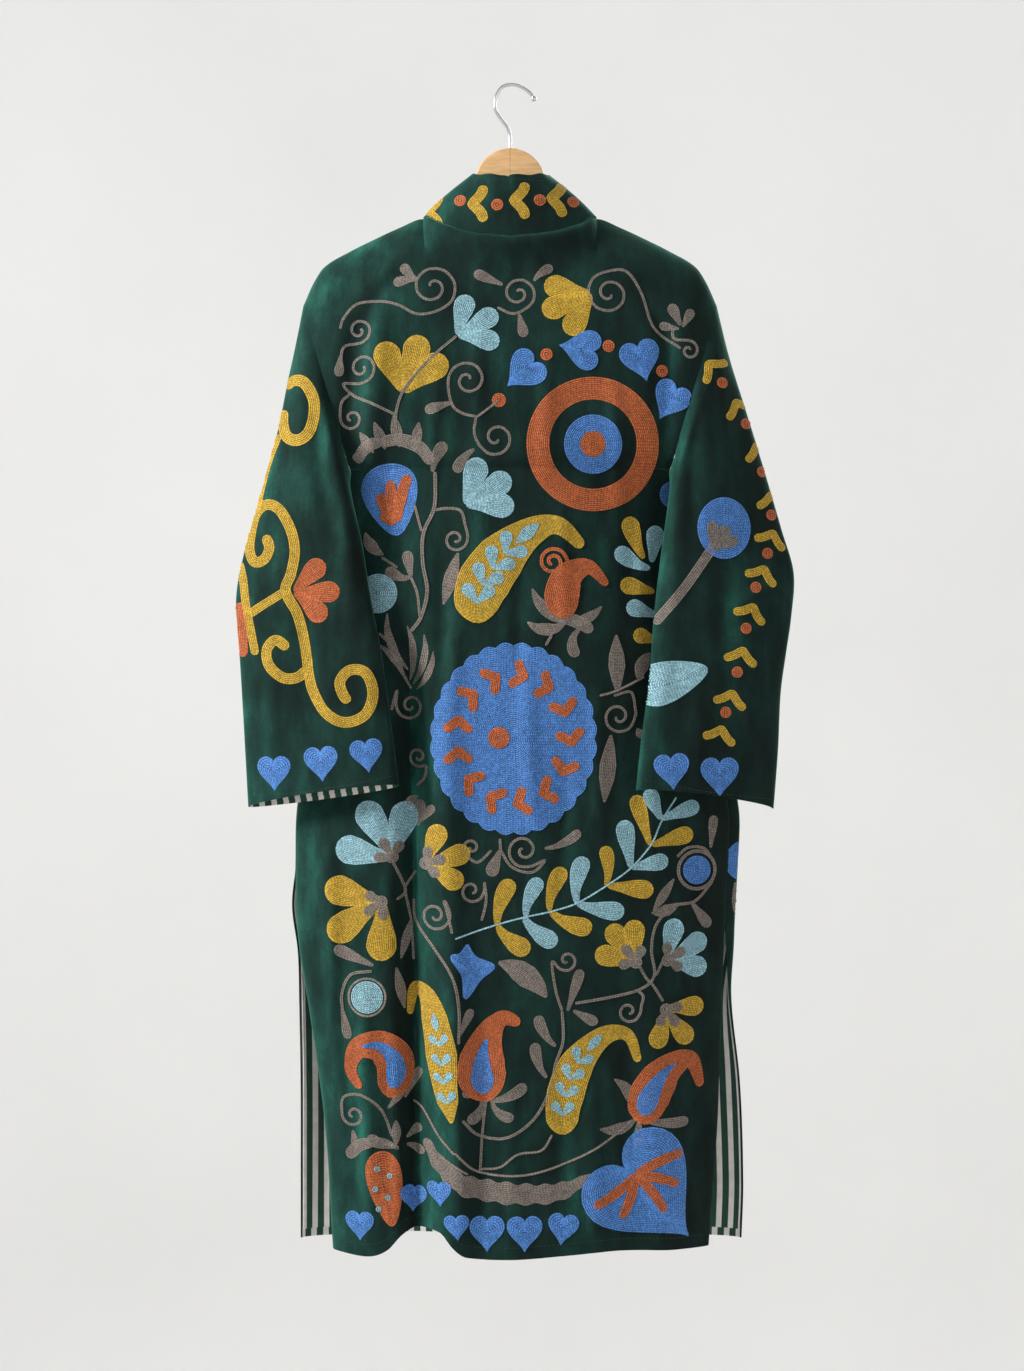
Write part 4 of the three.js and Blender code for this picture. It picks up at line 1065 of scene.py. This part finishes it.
# width and path
VINES = [
    (3.2, [(-125, -391), (-124, -367), (-114, -343), (-87, -312), (-58, -287)]),
    (4.4, [(-82, -435), (-83, -473), (-95, -502), (-96, -533), (-91, -566), (-98, -595), (-109, -610)]),
    (3.2, [(-105, -471), (-97, -500)]),
    (3.2, [(-110, -548), (-102, -568), (-99, -594)]),
    (3.2, [(-142, -528), (-131, -535), (-124, -540)]),
    (3.0, [(-37, -377), (-22, -366), (-13, -359)]),
    (3.2, [(-131, -859), (-120, -883), (-116, -897), (-125, -905)]),
    (3.2, [(-103, -874), (-114, -888), (-116, -897), (-109, -932), (-106, -972)]),
    (3.2, [(-106, -905), (-103, -929), (-81, -959), (-63, -987), (-56, -1019), (-56, -1060)]),
    (3.6, [(-151, -983), (-175, -988), (-185, -1009), (-184, -1027)]),
    (3.4, [(57, -1025), (58, -1058), (50, -1082), (42, -1115), (24, -1145), (-5, -1163), (-35, -1160),
        (-52, -1143)]),
    (3.4, [(71, -1017), (109, -1011), (142, -1003), (158, -988), (155, -959), (161, -932), (181, -913),
        (205, -908), (225, -887)]),
    (3.2, [(139, -972), (149, -990), (157, -999), (168, -1017)]),
    (3.2, [(168, -972), (160, -988)]),
    (3.2, [(184, -859), (197, -849), (216, -851), (227, -868)]),
    (3.4, [(-26, -1123), (-30, -1156), (-33, -1202)]),
    (3.0, [(-60, -1178), (-35, -1200), (8, -1204), (38, -1199), (73, -1186), (105, -1168),
        (133, -1147)]),
    (3.0, [(-35, -1198), (-11, -1195), (8, -1181), (34, -1177), (46, -1160)]),
    (3.0, [(-107, -1127), (-94, -1136), (-77, -1162), (-60, -1180)]),
    (3.0, [(-87, -1178), (-66, -1189), (-46, -1202)]),
    (3.0, [(98, -681), (113, -677), (131, -669), (148, -660)]),
    (3.2, [(39, -626), (46, -614)]),
    (3.2, [(-144, -612), (-127, -631), (-118, -658), (-109, -673)]),
    (3.4, [(-11, -837), (-10, -852)])]
SPRIG = [(-60, -946), (-14, -931), (16, -923), (44, -917), (73, -908), (106, -889), (133, -870), (155, -845),
         (167, -819), (184, -793)]
# by colour and kind: x and z of the foot, length, width, angle, and any bend
LEAVES = {
    ("grey", "club"): [
        (-102, -223, 24, 12, 132, 0.1), (-103, -224, 25, 12, -171, -0.1), (-8, -229, 34, 12, 157),
        (26, -225, 26, 11, 36, 0.1), (10, -263, 26, 12, -77), (188, -273, 26, 13, 115),
        (190, -275, 23, 11, 61), (186, -277, 22, 10, 170), (-63, -360, 31, 12, -163),
        (-39, -411, 32, 13, -129, -0.1), (-186, -306, 24, 11, -96), (-85, -435, 34, 14, 64, 0.1),
        (-164, -422, 11, 10, 142), (-110, -551, 28, 14, 157, 0.15), (-109, -551, 30, 13, 99),
        (77, -607, 31, 13, -96, -0.25), (-11, -850, 30, 15, -111), (38, -848, 43, 11, 26, -0.1),
        (-101, -824, 29, 13, 84), (-98, -819, 23, 10, 50), (-150, -977, 47, 14, 157),
        (-185, -1025, 34, 11, -78), (63, -1025, 47, 12, 72), (69, -1025, 30, 12, -28),
        (50, -1064, 39, 13, 120, 0.1), (40, -1098, 40, 13, 108, 0.1), (201, -910, 34, 13, -53),
        (223, -850, 36, 11, 84), (-55, -1051, 31, 10, 65), (-30, -1121, 29, 13, -124, 0.2),
        (-22, -1123, 43, 13, 24, -0.1), (-20, -1123, 30, 12, -37, -0.2), (-35, -1119, 18, 10, 158),
        (142, -1145, 55, 12, -5, -0.05), (142, -1145, 33, 13, -95),
        (-122, -1178, 58, 14, -169, -0.25), (-125, -1176, 33, 13, 159, 0.1),
        (-173, -1159, 19, 10, -78), (-116, -1123, 37, 10, 61), (-114, -1167, 21, 11, 39),
        (-114, -1174, 22, 11, -24), (-134, -1134, 25, 9, 50)],
    ("grey", "even"): [
        (-168, -424, 34, 14, 38, 0.2), (-142, -403, 61, 15, -22, 0.22), (55, -596, 38, 15, -22, 0.1)],
    ("grey", "lens"): [
        (-150, -414, 27, 11, 124), (-137, -410, 31, 12, 112), (-121, -408, 35, 13, 101),
        (-104, -412, 31, 12, 82), (-57, -524, 59, 16, -106), (-140, -525, 32, 14, 129, 0.15),
        (-113, -652, 66, 10, 110, 0.12), (-111, -664, 60, 9, 92, -0.1),
        (-107, -668, 56, 9, 77, -0.12), (-103, -674, 46, 8, 66, -0.12),
        (-118, -660, 46, 8, 128, -0.1), (61, -601, 42, 14, 179, 0.2), (57, -601, 50, 13, 131, 0.1),
        (63, -603, 43, 12, 28, -0.1), (118, -677, 63, 19, 91), (142, -664, 33, 16, 67, 0.1),
        (111, -724, 74, 19, -96), (140, -717, 13, 10, -61), (-118, -802, 20, 10, 33),
        (-125, -979, 47, 11, -79), (-120, -970, 44, 10, 76), (40, -1010, 65, 26, 144, -0.1),
        (186, -910, 32, 13, -162, 0.1), (181, -883, 42, 11, -124), (138, -1142, 48, 14, 120, -0.15),
        (138, -1145, 41, 13, -167, 0.15), (-125, -1174, 27, 11, 90)],
    ("yellow", "club"): [
        (148, -529, 49, 21, 110, 0.05), (160, -566, 39, 20, 167), (164, -621, 29, 18, 162),
        (-14, -932, 52, 20, 71, 0.1), (-14, -932, 45, 22, -37, -0.1), (43, -916, 49, 19, 70, 0.1),
        (44, -917, 49, 21, -21, -0.1), (105, -889, 43, 16, 93, -0.1), (107, -889, 51, 21, -7),
        (154, -845, 57, 18, 107), (156, -845, 48, 20, 15)],
    ("lightblue", "club"): [
        (155, -540, 43, 20, 149, 0.1), (157, -533, 41, 21, 82), (162, -592, 35, 20, 162),
        (17, -923, 45, 18, 68, 0.1), (15, -923, 46, 21, -37, -0.1), (73, -908, 51, 20, 79, 0.1),
        (73, -908, 53, 21, -10, -0.05), (133, -870, 53, 21, 99), (133, -870, 42, 19, 11),
        (166, -817, 36, 19, 114), (166, -817, 46, 18, 19)]}
# colour, x and z of the foot, size, angle, petals, spread, size of the calyx
FLOWERS = [
    ("lightblue", -57, -286, 50, 32, 3, 88, 0), ("yellow", -116, -348, 64, 75, 3, 76, 0),
    ("yellow", 88, -240, 56, 203, 3, 76, 0), ("lightblue", -48, -471, 57, 34, 3, 76, 0),
    ("lightblue", -130, -858, 68, 120, 3, 98, 24), ("yellow", -92, -865, 50, 18, 3, 98, 24),
    ("yellow", -141, -907, 70, 216, 3, 104, 24), ("yellow", 138, -973, 50, 128, 3, 74, 24),
    ("lightblue", 173, -972, 50, 30, 3, 92, 24), ("yellow", 171, -1026, 47, -52, 3, 108, 24)]
# x, z, size, angle of the tip
HEARTS = [
    (17, -325, 46, 222), (80, -302, 46, 170), (143, -310, 46, 285), (177, -354, 44, 240),
    (-165, -1261, 33, -88), (-106, -1232, 31, -95), (-77, -1222, 28, -85), (-58, -1257, 28, -85),
    (-25, -1264, 40, -90), (16, -1264, 40, -90), (58, -1260, 35, -98), (146, -1221, 130, -48)]
# colour, x, z, inner and outer radius
DISCS = [
    ("orange", 40, -308, 0, 7), ("orange", 108, -298, 0, 7), ("orange", 167, -324, 0, 7),
    ("orange", 91, -405, 48, 73), ("blue", 91, -405, 14, 32), ("orange", 91, -405, 0, 14),
    ("orange", -12, -358, 0, 8), ("blue", 181, -457, 0, 15), ("lightblue", -146, -568, 0, 22),
    ("lightblue", -157, -1012, 0, 18), ("grey", -157, -1012, 19, 22), ("blue", 207, -874, 0, 16),
    ("grey", 207, -874, 19, 23)]
# colour, width, filling, and the spine from the round end to the tip
PAISLEYS = [
    ("yellow", 59, "leaves", [(-37, -601), (-33, -566), (-11, -531), (22, -502), (52, -494),
        (80, -517)]),
    ("orange", 39, "none", [(61, -596), (57, -570), (66, -548), (87, -540), (107, -559)]),
    ("yellow", 35, "slim", [(-63, -1146), (-71, -1104), (-77, -1058), (-89, -1012), (-105, -1004),
        (-111, -1032)]),
    ("orange", 54, "drop", [(-27, -1124), (-31, -1084), (-23, -1051), (-8, -1033), (11, -1038)]),
    ("yellow", 42, "leaves", [(57, -1160), (59, -1123), (74, -1082), (103, -1053), (129, -1053),
        (141, -1082)]),
    ("orange", 46, "drop", [(144, -1150), (153, -1120), (173, -1092), (199, -1083), (211, -1113)]),
    ("orange", 42, "drop", [(-131, -1122), (-126, -1086), (-142, -1066), (-166, -1068), (-175, -1091),
        (-164, -1112)])]
ROSETTE = {"x": 4, "z": -728, "width": 184, "height": 212, "scallops": 28, "chevrons": 13}
GROUND = [(-93, -1167), (-77, -1191), (-44, -1216), (11, -1224), (55, -1222), (90, -1204)]
KITE_PLACE = (-43, -979)
KITE = [(-4, 28), (6, 14), (27, 3), (12, -12), (-6, -33), (-10, -8), (-22, 14), (-12, 18)]


def rosette(work):
    turn = np.linspace(0, 2 * np.pi, ROSETTE["scallops"] * 9, endpoint=False)
    scallop = 0.962 + 0.038 * np.abs(np.sin(turn * ROSETTE["scallops"] / 2))
    outline = np.stack([
        ROSETTE["x"] + ROSETTE["width"] / 2 * scallop * np.cos(turn),
        ROSETTE["z"] + ROSETTE["height"] / 2 * scallop * np.sin(turn)], axis=1)
    work.rings("blue", outline)
    disc(work, "orange", ROSETTE["x"] - 16, ROSETTE["z"] + 1, 0, 12, OVER)
    for k in range(ROSETTE["chevrons"]):
        angle = 2 * math.pi * k / ROSETTE["chevrons"]
        x = ROSETTE["x"] + ROSETTE["width"] * 0.34 * math.cos(angle)
        z = ROSETTE["z"] + ROSETTE["height"] * 0.33 * math.sin(angle)
        chevron(work, "orange", x, z, 30, math.degrees(angle) - 90 + 12 * (-1) ** k, 10.5, OVER, 0.26)


def embroider_back():
    work = Needlework("back")
    rosette(work)
    for x, z, radius, turns, hand, tail in SPIRALS:
        spiral(work, "grey", x, z, radius, turns, hand, tail)
    spiral(work, "orange", 47, -534, 16, 1.8, -1, [(64, -546), (66, -556)], 4.2)
    for width, path in VINES:
        work.band("grey", path, width, lift=VINE_LIFT)
    work.band("lightblue", SPRIG, 2.2)
    for (colour, kind), rows in LEAVES.items():
        for row in rows:
            leaf(work, colour, kind, *row)
    for flower_row in FLOWERS:
        flower(work, *flower_row)
    for heart_row in HEARTS:
        heart(work, "blue", *heart_row, HEART_LIFT)
    for disc_row in DISCS:
        disc(work, *disc_row)
    for colour, width, filling, spine in PAISLEYS:
        paisley(work, colour, width, filling, spine)
    ground = shape_of((0, 0.35), (0.2, 0.8), (0.5, 0.95), (0.8, 0.8), (1, 0.25))
    work.band("grey", GROUND, 25, lambda t: ground(t) * (1 + 0.13 * np.sin(62 * t)))
    work.rings("blue", smooth_path(np.add(KITE + KITE[:1], KITE_PLACE), 2)[:-1])
    drop(work, "blue", -131, -465, 68, 80, -80)
    for angle, length in ((75, 53), (98, 46), (122, 37), (150, 20)):
        leaf(work, "orange", "even", -125, -489, length, 14, angle, 0.05, OVER)
    drop(work, "orange", -136, -1222, 42, 84, -80)
    for x, z in ((-146, -1200), (-132, -1208), (-148, -1222), (-134, -1232), (-144, -1244)):
        disc(work, "lightblue", x, z, 0, 3.4, 0.8)
    for angle, length in ((24, 56), (-14, 48), (-52, 52), (-109, 49), (-145, 56)):
        leaf(work, "orange", "even", 138, -1206, length, 11.5, angle, 0.05, FINGER_LIFT)
    return work.build("stitches_back", split=True)


LEFT_SCROLLS = [
    (13, [(-250, -365), (-251, -379), (-246, -395), (-233, -400), (-221, -392), (-215, -373),
        (-216, -354), (-226, -337), (-238, -333), (-249, -339)]),
    (8, [(-255, -392), (-267, -422), (-275, -452), (-280, -478)]),
    (12, [(-270, -504), (-265, -518), (-271, -531), (-282, -533), (-288, -519), (-286, -498),
        (-281, -480), (-269, -470), (-254, -476), (-241, -498), (-236, -522), (-240, -547),
        (-246, -566), (-233, -591), (-226, -616), (-222, -640), (-220, -657), (-214, -678),
        (-200, -700), (-179, -710), (-157, -701), (-149, -678), (-157, -656), (-174, -653),
        (-185, -665), (-182, -679), (-175, -688)]),
    (10, [(-246, -566), (-269, -580), (-289, -592)]),
    (10, [(-300, -533), (-295, -553), (-292, -575), (-287, -603), (-280, -636)]),
    (12, [(-222, -652), (-233, -661), (-249, -661), (-264, -648), (-267, -631), (-257, -620),
        (-243, -629)])]


def embroider_left_sleeve():
    work = Needlework("sleeve_left")
    for i, (width, path) in enumerate(LEFT_SCROLLS):
        work.band("yellow", path, width, None, 0.05 * (i % 3))
    flower(work, "orange", -236, -567, 50, 1, 3, 88)
    leaf(work, "orange", "even", -299, -578, 60, 15, -86)
    for x, z, size, tip in ((-259, -763, 39, -88), (-206, -752, 39, -85), (-156, -743, 37, -82)):
        heart(work, "blue", x, z, size, tip)
    return work.build("stitches_sleeve_left")


def embroider_cuff_front(side):
    """The hearts that go on round the far side of a cuff."""
    name = "left" if side < 0 else "right"
    work = Needlework(f"sleeve_{name}_far")
    for k in range(3):
        heart(work, "blue", side * (252 - 48 * k), -762 + 9 * k, 38, -90 + 3 * side)
    return work.build(f"stitches_cuff_{name}")


# x, z and the way that each chevron points, down the right sleeve
RIGHT_CHEVRONS = [
    (222, -319, 135), (252, -361, 118), (275, -408, 112), (290, -463, 96), (289, -506, 70),
    (278, -546, 68), (265, -588, 68), (254, -636, 76), (242, -683, 74), (230, -722, 74)]
RIGHT_DOTS = [
    (201, -307), (234, -336), (261, -380), (279, -433), (289, -481), (284, -524), (270, -562),
    (259, -607), (249, -655), (236, -699)]


def embroider_right_sleeve():
    work = Needlework("sleeve_right")
    for x, z, angle in RIGHT_CHEVRONS:
        chevron(work, "yellow", x, z, 37, angle, 9.5, 0, 0.22)
    for x, z in RIGHT_DOTS:
        disc(work, "orange", x, z, 0, 6.5)
    disc(work, "blue", 235, -497, 0, 34, 0, 0.88)
    work.band("grey", [(226, -512), (214, -530), (190, -564), (158, -602)], 11)
    for i in range(3):
        leaf(work, "grey", "club", 222, -520, 30, 13, 56 + 34 * (i - 1), 0, OVER)
    drop(work, "lightblue", 176, -664, 50, 84, 18)
    for x, z, size, tip in ((176, -760, 40, -85), (229, -766, 44, -90)):
        heart(work, "blue", x, z, size, tip)
    return work.build("stitches_sleeve_right")


def embroider_right_side():
    """The part of a disc that comes round the side seam from the front."""
    work = Needlework("front_right_side")
    disc(work, "blue", 263, -866, 0, 23)
    leaf(work, "grey", "lens", 252, -890, 46, 12, -84)
    return work.build("stitches_side_right")


def embroider_collar():
    work = Needlework("collar")
    for x, z in ((-86, -144), (-36, -139), (10, -136), (51, -132)):
        chevron(work, "yellow", x, z, 42, 180, 12, 0, 0.18)
    for x, z in ((-55, -134), (-14, -141), (33, -135), (70, -134)):
        disc(work, "orange", x, z, 0, 7)
    return work.build("stitches_collar")


FRONT_STEP = 68
FRONT_VINE_X = 112
FRONT_VINE_TURN = 1.25


def embroider_front(side):
    """A plainer front of the same motifs: a flowering vine between a row of
    hearts at the hem and a dotted edge."""
    name = "left" if side < 0 else "right"
    work = Needlework(f"front_{name}")
    for k in range(5):
        heart(work, "blue", side * (36 + 42 * k), -1258, 36, -90)
    for k in range(14):
        z = -300 - FRONT_STEP * k
        chevron(work, "yellow", side * 26, z, 30, 90, 8)
        disc(work, "orange", side * 26, z - 32, 0, 6)
    vine = [(side * (FRONT_VINE_X + 34 * math.sin(k * FRONT_VINE_TURN)), -1200 + FRONT_STEP * k)
            for k in range(13)]
    work.band("grey", vine, 4.4)
    for k, (x, z) in enumerate(vine[1:-1]):
        out = 1 if math.cos((k + 1) * FRONT_VINE_TURN) < 0 else -1
        colour = ("lightblue", "yellow", "orange")[k % 3]
        flower(work, colour, x + out * 18, z + 14, 56, 90 - out * 46, 3, 88, 24)
        leaf(work, "grey", "lens", x, z - 8, 44, 14, 90 + out * 70, 0.1)
        spiral(work, "grey", x - out * 34, z + 22, 14, 1.4, -1, [(x - out * 16, z + 8), (x, z)])
    disc(work, "blue", side * FRONT_VINE_X, -840, 0, 40, 1.0)
    disc(work, "orange", side * FRONT_VINE_X, -840, 0, 14, 1.8)
    return work.build(f"stitches_front_{name}")


HEM_SEAM = 13                     # above the hem
COLLAR_SEAM_DOWN = 5              # below the collar's top edge
SEAM_SPACING = 0.8
SEAM_ROW = (0.45, -0.35)          # half width and lift of a sunken stitch
SEAM_DASH = 5                     # points in a stitch
SEAM_PERIOD = 6                   # and from one to the next


def running_stitches():
    """The seams that show as sewn lines: hem, cuffs and the collar's edge."""
    hem = [(x, HEM_Z + HEM_SEAM + float(along(HEM_RISE, "x", "rise", float(x))))
           for x in range(-192, 218, 8)]
    lines = {
        "back": hem,
        "collar": [(40 * math.sin(a), COLLAR_TOP_BACK_Z - COLLAR_SEAM_DOWN)
                   for a in np.linspace(-1.3, 1.3, 24)],
        "sleeve_left": [(-284, -790), (-232, -787), (-178, -778), (-128, -768)],
        "sleeve_right": [(287, -795), (256, -791), (206, -784), (146, -772)]}
    for surface, path in lines.items():
        work = Needlework(surface)
        fine = smooth_path(path, SEAM_SPACING)
        for start in range(0, len(fine) - SEAM_DASH, SEAM_PERIOD):
            work.chain("seam", fine[start:start + SEAM_DASH], *SEAM_ROW)
        work.build(f"seam_{surface}")


stitches = {
    "back": embroider_back(),
    "sleeve_left": embroider_left_sleeve() + embroider_cuff_front(-1),
    "sleeve_right": embroider_right_sleeve() + embroider_cuff_front(1),
    "collar": embroider_collar(),
    "front_left": embroider_front(-1),
    "front_right": embroider_front(1) + embroider_right_side(),
}
running_stitches()

# ------------------------------------------------------ hanger and hook ----


def hanger_outline():
    tip_z = along(SHOULDER_LINE, "x", "z", SHOULDER_TIP_X)
    neck_z = along(SHOULDER_LINE, "x", "z", NECK_X)
    slope = float((tip_z - neck_z) / (SHOULDER_TIP_X - NECK_X))

    def arm_top(x):
        return float(neck_z) - ARM_UNDER_CLOTH + (x - NECK_X) * slope

    def arc(x, z, radius, start, end, count):
        turn = np.linspace(math.radians(start), math.radians(end), count)
        return [(x + radius * math.cos(a), z + radius * math.sin(a)) for a in turn]

    def bend(start, middle, end, count=14):
        t = np.linspace(0, 1, count)[1:, None]
        curve = (1 - t) ** 2 * np.array(start) + 2 * t * (1 - t) * np.array(middle) + t**2 * np.array(end)
        return [tuple(p) for p in curve]

    end = ARM_HEIGHT_END / 2
    end_x = ARM_END_X - end
    arch_z = ARCH_TOP_Z - ARCH_RADIUS
    side = arc(0, arch_z, ARCH_RADIUS, 90, 0, 22)
    arm_x = ARCH_RADIUS * 1.5
    side += bend(side[-1], (ARCH_RADIUS, arm_top(ARCH_RADIUS)), (arm_x, arm_top(arm_x)))
    side += [(x, arm_top(x)) for x in np.linspace(arm_x, end_x, 20)[1:]]
    side += arc(end_x, arm_top(end_x) - end, end, 90, -90, 16)[1:]
    low = (end_x / 2, arm_top(end_x / 2) - ARM_HEIGHT_MIDDLE * 0.75)
    side += bend(side[-1], low, (0, arm_top(0) - ARM_HEIGHT_MIDDLE), 30)
    return np.array(side + [(-x, z) for x, z in side[-2:0:-1]])


def make_hanger():
    outline = hanger_outline()
    ahead = np.roll(outline, -1, axis=0) - np.roll(outline, 1, axis=0)
    ahead /= np.linalg.norm(ahead, axis=1, keepdims=True)
    inward = np.stack([ahead[:, 1], -ahead[:, 0]], axis=1)
    rings = []
    for turn in np.linspace(0, math.pi / 2, 6):
        flat = outline + inward * WOOD_BEVEL * (1 - math.sin(turn))
        y = -(WOOD_THICKNESS / 2 - WOOD_BEVEL + WOOD_BEVEL * math.cos(turn))
        rings.append(np.column_stack([flat[:, 0], np.full(len(flat), y), flat[:, 1]]))
    rings += [ring * (1, -1, 1) for ring in rings[::-1]]
    count = len(outline)
    faces = grid_quads(len(rings), count, closed=True).tolist()
    # The flat faces run across the wood from edge to edge.
    for base in (0, (len(rings) - 1) * count):
        for k in range(count // 2):
            corners = (k, k + 1, count - k - 1, (count - k) % count)
            faces.append([base + corner for corner in dict.fromkeys(corners)])
    mesh = bpy.data.meshes.new("hanger_wood")
    mesh.from_pydata((np.concatenate(rings) * MM).tolist(), [], faces)
    mesh.materials.append(wood_material())
    mesh.validate()
    work = bmesh.new()
    work.from_mesh(mesh)
    bmesh.ops.recalc_face_normals(work, faces=work.faces)
    work.to_mesh(mesh)
    work.free()
    mesh.polygons.foreach_set("use_smooth", np.ones(len(mesh.polygons), bool))
    made = bpy.data.objects.new("hanger_wood", mesh)
    bpy.context.scene.collection.objects.link(made)
    sharpen(made, 50)
    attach(made, "root")
    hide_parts("hanger")


def make_hook():
    route = smooth_path([(x, 0, z) for x, z in HOOK_ROUTE], 0.8)
    length = run_along(route)
    ball_at = length[-1] - HOOK_END_BALL_RADIUS
    near = np.abs(length - ball_at) / HOOK_END_BALL_RADIUS
    ball = HOOK_END_BALL_RADIUS * np.sqrt(np.clip(1 - near**2, 0.0004, 1))
    radius = np.where(length > ball_at - HOOK_END_BALL_RADIUS * 0.78, ball, WIRE_RADIUS)
    ahead = np.gradient(route, axis=0)
    ahead /= np.linalg.norm(ahead, axis=1, keepdims=True)
    across = np.stack([-ahead[:, 2], 0 * ahead[:, 0], ahead[:, 0]], axis=1)
    turn = np.linspace(0, 2 * np.pi, WIRE_SIDES, endpoint=False)[None, :, None]
    rings = route[:, None] + radius[:, None, None] * (
        np.cos(turn) * across[:, None] + np.sin(turn) * np.array([0, 1, 0]))
    points = rings.reshape(-1, 3)
    half = np.arange(1, WIRE_SIDES // 2)
    cap = np.stack([half - 1, half, WIRE_SIDES - half - 1, (WIRE_SIDES - half) % WIRE_SIDES], axis=1)
    quads = np.concatenate([
        grid_quads(len(route), WIRE_SIDES, closed=True), cap, cap[:, ::-1] + (len(route) - 1) * WIRE_SIDES])
    if signed_volume(points, quads) < 0:
        quads = quads[:, ::-1]
    made = mesh_object("hook_wire", points, quads, [steel_material()])
    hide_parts("hook")


make_hanger()
make_hook()

# ----------------------------------------------------------- the studio ----

ROOM_RADIUS = 4.6
FLOOR_Z = -3.4
ROOM_TOP = 3.4
CORNER = 1.0
ROOM_SIDES = 96


def make_room():
    """A round pale room with no corner between floor and wall."""
    turn = np.linspace(0, math.pi / 2, 13)
    radius = np.concatenate([[0], ROOM_RADIUS - CORNER + CORNER * np.sin(turn), [ROOM_RADIUS]])
    z = np.concatenate([[FLOOR_Z], FLOOR_Z + CORNER * (1 - np.cos(turn)), [ROOM_TOP]])
    around = np.linspace(0, 2 * math.pi, ROOM_SIDES, endpoint=False)
    points = np.stack(np.broadcast_arrays(
        radius[:, None] * np.cos(around), radius[:, None] * np.sin(around), z[:, None]), axis=-1)
    mesh = bpy.data.meshes.new("room")
    faces = grid_quads(len(z), ROOM_SIDES, closed=True)
    mesh.from_pydata(points.reshape(-1, 3).tolist(), [], faces.tolist())
    mesh.polygons.foreach_set("use_smooth", np.ones(len(mesh.polygons), bool))
    shader = Shader("pale_wall")
    plaster = shader.noise(shader.place(), 1.2, 3)
    tone = shader.shade(plaster, (0.3, (0.80, 0.80, 0.795)), (0.7, (0.83, 0.83, 0.825)))
    mesh.materials.append(shader.finish(tone, 0.9))
    room = bpy.data.objects.new("room", mesh)
    bpy.context.scene.collection.objects.link(room)


def area_light(name, place, target, size, power, colour):
    data = bpy.data.lights.new(name, "AREA")
    data.shape = "DISK"
    data.size = size
    data.energy = power
    data.color = colour
    lamp = bpy.data.objects.new(name, data)
    lamp.location = place
    lamp.rotation_euler = (Vector(target) - Vector(place)).to_track_quat("-Z", "Y").to_euler()
    bpy.context.scene.collection.objects.link(lamp)


MIDDLE = (0, 0, -0.67)             # of the jacket, in metres
# name, place, target, size, power, colour
LIGHTS = [
    ("key", (-3.1, -1.35, 1.0), MIDDLE, 0.9, 165, (1, 0.985, 0.96)),
    ("fill", (2.4, -3.0, 0.0), MIDDLE, 2.4, 10, (1, 1, 1)),
    ("behind", (1.8, 2.9, 1.2), MIDDLE, 2.0, 50, (1, 1, 1)),
    ("wall_wash", (0, 1.4, 2.6), (0, 4.6, -0.9), 2.4, 30, (1, 1, 1))]
SKY_COLOUR = (0.985, 0.99, 1.0, 1)
SKY_STRENGTH = 0.36
CAMERA_PLACE = (0.0022, -2.6, -0.6697)
LENS = 61.07
SENSOR_HEIGHT = 36

make_room()
for light in LIGHTS:
    area_light(*light)

world = bpy.data.worlds.new("soft_day")
world.use_nodes = True
world.node_tree.nodes["Background"].inputs["Color"].default_value = SKY_COLOUR
world.node_tree.nodes["Background"].inputs["Strength"].default_value = SKY_STRENGTH
bpy.context.scene.world = world
bpy.context.scene.view_settings.view_transform = "Standard"

camera_data = bpy.data.cameras.new("camera")
camera_data.lens = LENS
camera_data.sensor_fit = "VERTICAL"
camera_data.sensor_height = SENSOR_HEIGHT
camera = bpy.data.objects.new("camera", camera_data)
camera.location = CAMERA_PLACE
camera.rotation_euler = (math.pi / 2, 0, 0)
bpy.context.scene.collection.objects.link(camera)
bpy.context.scene.camera = camera
